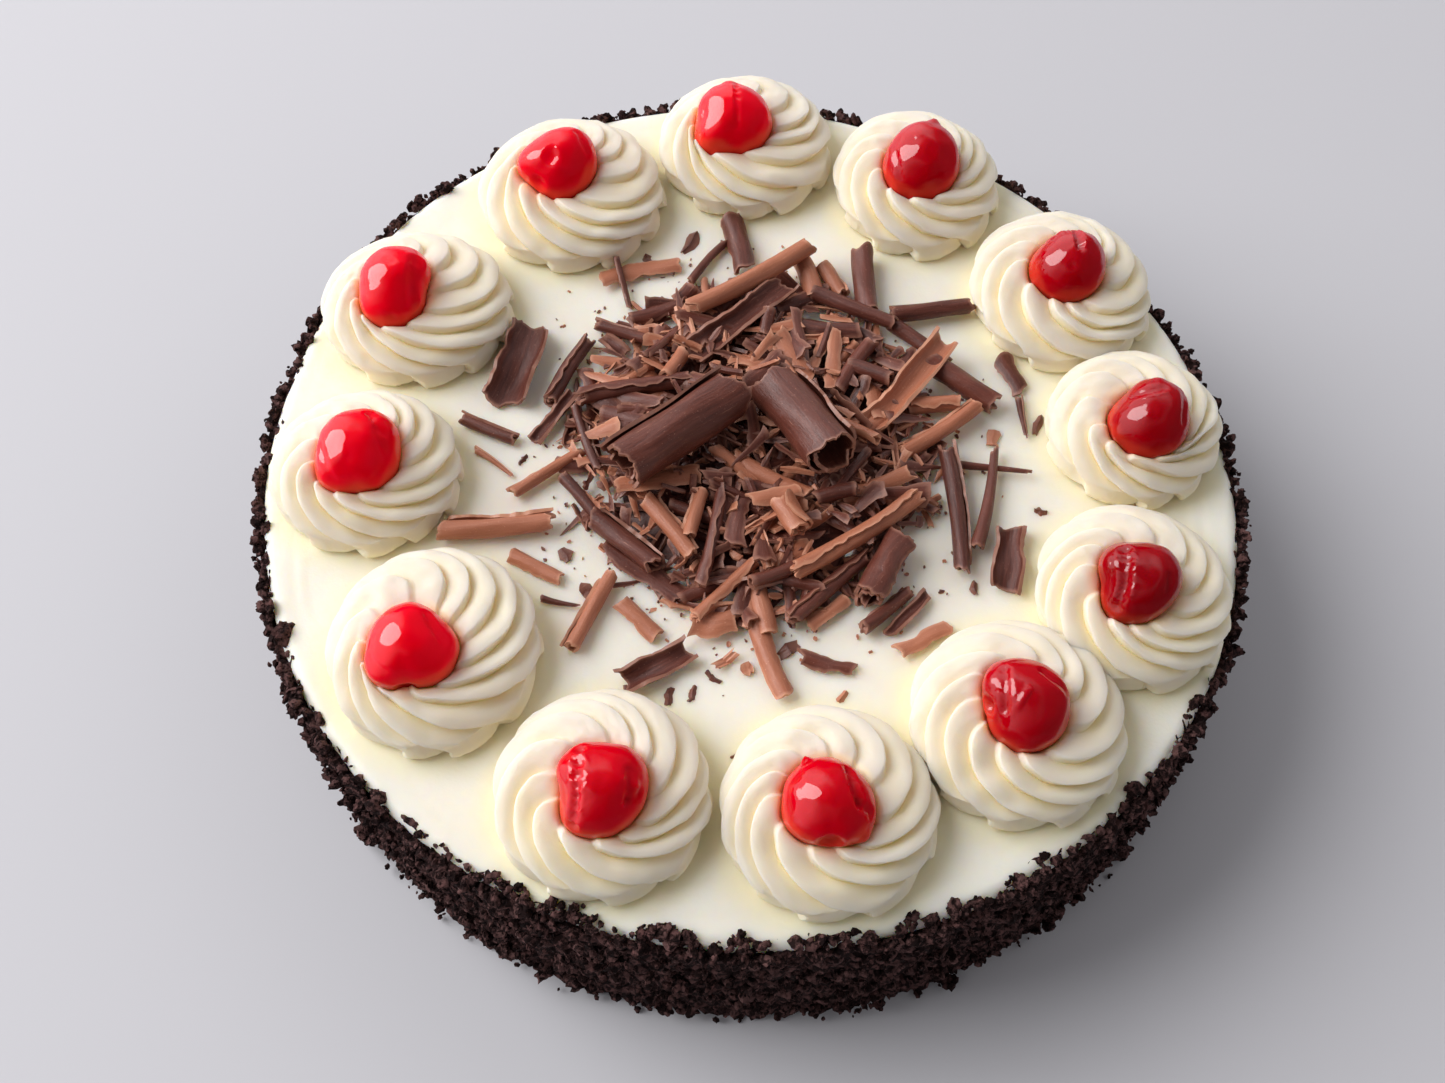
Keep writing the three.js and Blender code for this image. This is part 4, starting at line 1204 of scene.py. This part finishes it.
def lies_under(x, y, spec, margin=0.0):
    """Whether a place lies under a large shaving, or within the margin round it."""
    _, _, middle_x, middle_y, _, heading, length, width = spec[:8]
    turn = math.radians(heading)
    along = (x - middle_x) * math.cos(turn) + (y - middle_y) * math.sin(turn)
    across = (y - middle_y) * math.cos(turn) - (x - middle_x) * math.sin(turn)
    return abs(along) < 0.5 * length + margin and abs(across) < 0.5 * width + margin


def heap_fragments():
    """Broken shavings of middling size that make up the heap between the large ones."""
    gathered = Shavings()
    rng = np.random.default_rng(57)
    kinds = ["flake", "flake", "half", "scoop", "flake", "shard", "shard", "shard", "tube"]
    for number in range(520):
        large = number < 330
        x, y, reach = heap_place(rng, 0.55)
        kind = kinds[rng.integers(len(kinds))]
        tone = random_tone(rng, 0.36)
        length = rng.uniform(9, 21) if large else rng.uniform(5, 11)
        width = rng.uniform(2.6, 6.6) if large else rng.uniform(1.6, 3.4)
        length *= 1.1 - 0.35 * reach
        width *= 1.05 - 0.3 * reach
        heading = rng.uniform(0, 360)
        body = rolled_shaving(kind, length, width, rng, 1.3 if large else 1.1)
        lift = float(heap_height(x, y)) - 0.1 * width + rng.uniform(-2.2, 1.2) * (1.2 - reach)
        # those under the curls and the large shavings lie lower
        turn = math.radians(heading)
        shifts = [share * length for share in (-0.4, 0, 0.4)]
        along = [(x + shift * math.cos(turn), y + shift * math.sin(turn)) for shift in shifts]
        if any(lies_under(*point, spec, 1.0) for spec in BIG_CURLS.values() for point in along):
            lift = min(lift, 4.5 - width)
        elif any(lies_under(x, y, spec) for spec in HEAP_SHAVINGS):
            lift -= 3
        pitch, roll = rng.normal(0, 0.2 - 0.12 * reach), rng.normal(0, 0.45)
        gathered.add(tone, body, x, y, lift, heading, pitch, roll, lowest=HEAP_FOOT)
    gathered.pieces("heap_fragments")


def heap_splinters():
    """The small chips of the heap, lying in and between the shavings."""
    gathered = Shavings()
    rng = np.random.default_rng(55)
    for _ in range(380):
        x, y, reach = heap_place(rng, 0.48)
        tone = random_tone(rng, 0.36)
        length = rng.uniform(2.5, 9) * (1.1 - 0.5 * reach)
        body = splinter(rng, length, rng.uniform(0.8, 2.4))
        lift = float(heap_height(x, y)) + rng.uniform(0.1, 1.4)
        pitch, roll = rng.normal(0, 0.25), rng.normal(0, 0.6)
        gathered.add(tone, body, x, y, lift, rng.uniform(0, 360), pitch, roll, lowest=HEAP_FOOT)
    gathered.pieces("heap_splinters", smooth=False)


def scattered_flakes():
    """Small flakes and dust lying on the cream round the heap."""
    gathered = Shavings()
    rng = np.random.default_rng(77)
    for tone, x, y, length, width in FLAKES:
        body = splinter(rng, length * 1.05, width * 1.1)
        gathered.add(tone, body, x, y, 0.8, rng.uniform(0, 180))
    for _ in range(260):
        reach = 0.93 + abs(rng.normal(0, 0.2))
        x, y = heap_point(reach, rng.uniform(0, FULL_TURN))
        size = rng.uniform(0.4, 1.9) * rng.uniform(0.6, 1)
        body = splinter(rng, size, size * rng.uniform(0.4, 0.9))
        gathered.add(random_tone(rng, 0.4), body, x, y, 0.35, rng.uniform(0, 360))
    gathered.pieces("scattered_flakes", nodes=(), smooth=False)


# ---------------- camera, floor and light


def add_camera():
    """Looks down on the cake from the front, as the photograph does."""
    data = bpy.data.cameras.new("camera")
    data.sensor_width = SENSOR_WIDTH
    data.lens = SENSOR_WIDTH * FOCAL_PIXELS / PICTURE_WIDTH
    camera = bpy.data.objects.new("camera", data)
    camera.location = CAMERA_PLACE
    camera.rotation_euler = (math.radians(90 - VIEW_ELEVATION), 0, -math.radians(VIEW_YAW))
    bpy.context.scene.collection.objects.link(camera)
    bpy.context.scene.camera = camera


def add_floor():
    edge = FLOOR_SIZE / 2
    corners = [(-edge, -edge, 0), (edge, -edge, 0), (edge, edge, 0), (-edge, edge, 0)]
    mesh = bpy.data.meshes.new("floor")
    mesh.from_pydata(corners, [], [(0, 1, 2, 3)])
    shader = Shader("floor")
    shader.set(Base_Color=FLOOR_COLOUR, Roughness=0.9)
    mesh.materials.append(shader.material)
    floor = bpy.data.objects.new("floor", mesh)
    bpy.context.scene.collection.objects.link(floor)


def add_window():
    data = bpy.data.lights.new("window", "AREA")
    data.shape = "ELLIPSE"
    data.size, data.size_y = WINDOW_SIZE
    data.energy = WINDOW_POWER
    window = bpy.data.objects.new("window", data)
    aim = Vector(WINDOW_DIRECTION).normalized()
    window.location = Vector(LIGHT_AIM) + aim * WINDOW_DISTANCE
    window.rotation_mode = "QUATERNION"
    window.rotation_quaternion = aim.to_track_quat("Z", "Y")
    bpy.context.scene.collection.objects.link(window)


def add_studio():
    """Pale walls all round, brightest behind on the left, under a dim ceiling."""
    world = bpy.data.worlds.new("studio")
    world.use_nodes = True
    nodes = Nodes(world.node_tree)
    direction = nodes.node("ShaderNodeTexCoord", {}).outputs["Generated"]
    light = WALL_LEAST
    for x, y, start, end, added in WALLS:
        sideways = nodes.dot(direction, (x, y, 0))
        light = nodes.plus(light, nodes.curve(sideways, start, end, 0, added, "SMOOTHSTEP"))
    height = nodes.dot(direction, (0, 0, 1))
    ceiling = nodes.curve(height, CEILING_START, CEILING_END, 1, CEILING_SHARE, "SMOOTHSTEP")
    background = world.node_tree.nodes["Background"]
    nodes.put(background.inputs["Color"], WALL_COLOUR)
    nodes.put(background.inputs["Strength"], nodes.times(light, ceiling))
    bpy.context.scene.world = world


cream_body()
crumb_coat()
for place, spec in enumerate(ROSETTES, 1):
    rosette(place, spec)
    glace_cherry(place, spec)
heap_core()
heap_shavings()
heap_fragments()
heap_splinters()
scattered_flakes()
for curl, spec in BIG_CURLS.items():
    single_shaving(f"big_{curl}", spec, curl, 61, 0.75, 0.0)
for place, spec in enumerate(LOOSE_CURLS, 1):
    single_shaving(f"shaving_{place:02d}", spec, f"loose_curl_{place:02d}", 2000 + place, 0.8)

add_camera()
add_floor()
add_window()
add_studio()
bpy.context.scene.view_settings.view_transform = "Standard"
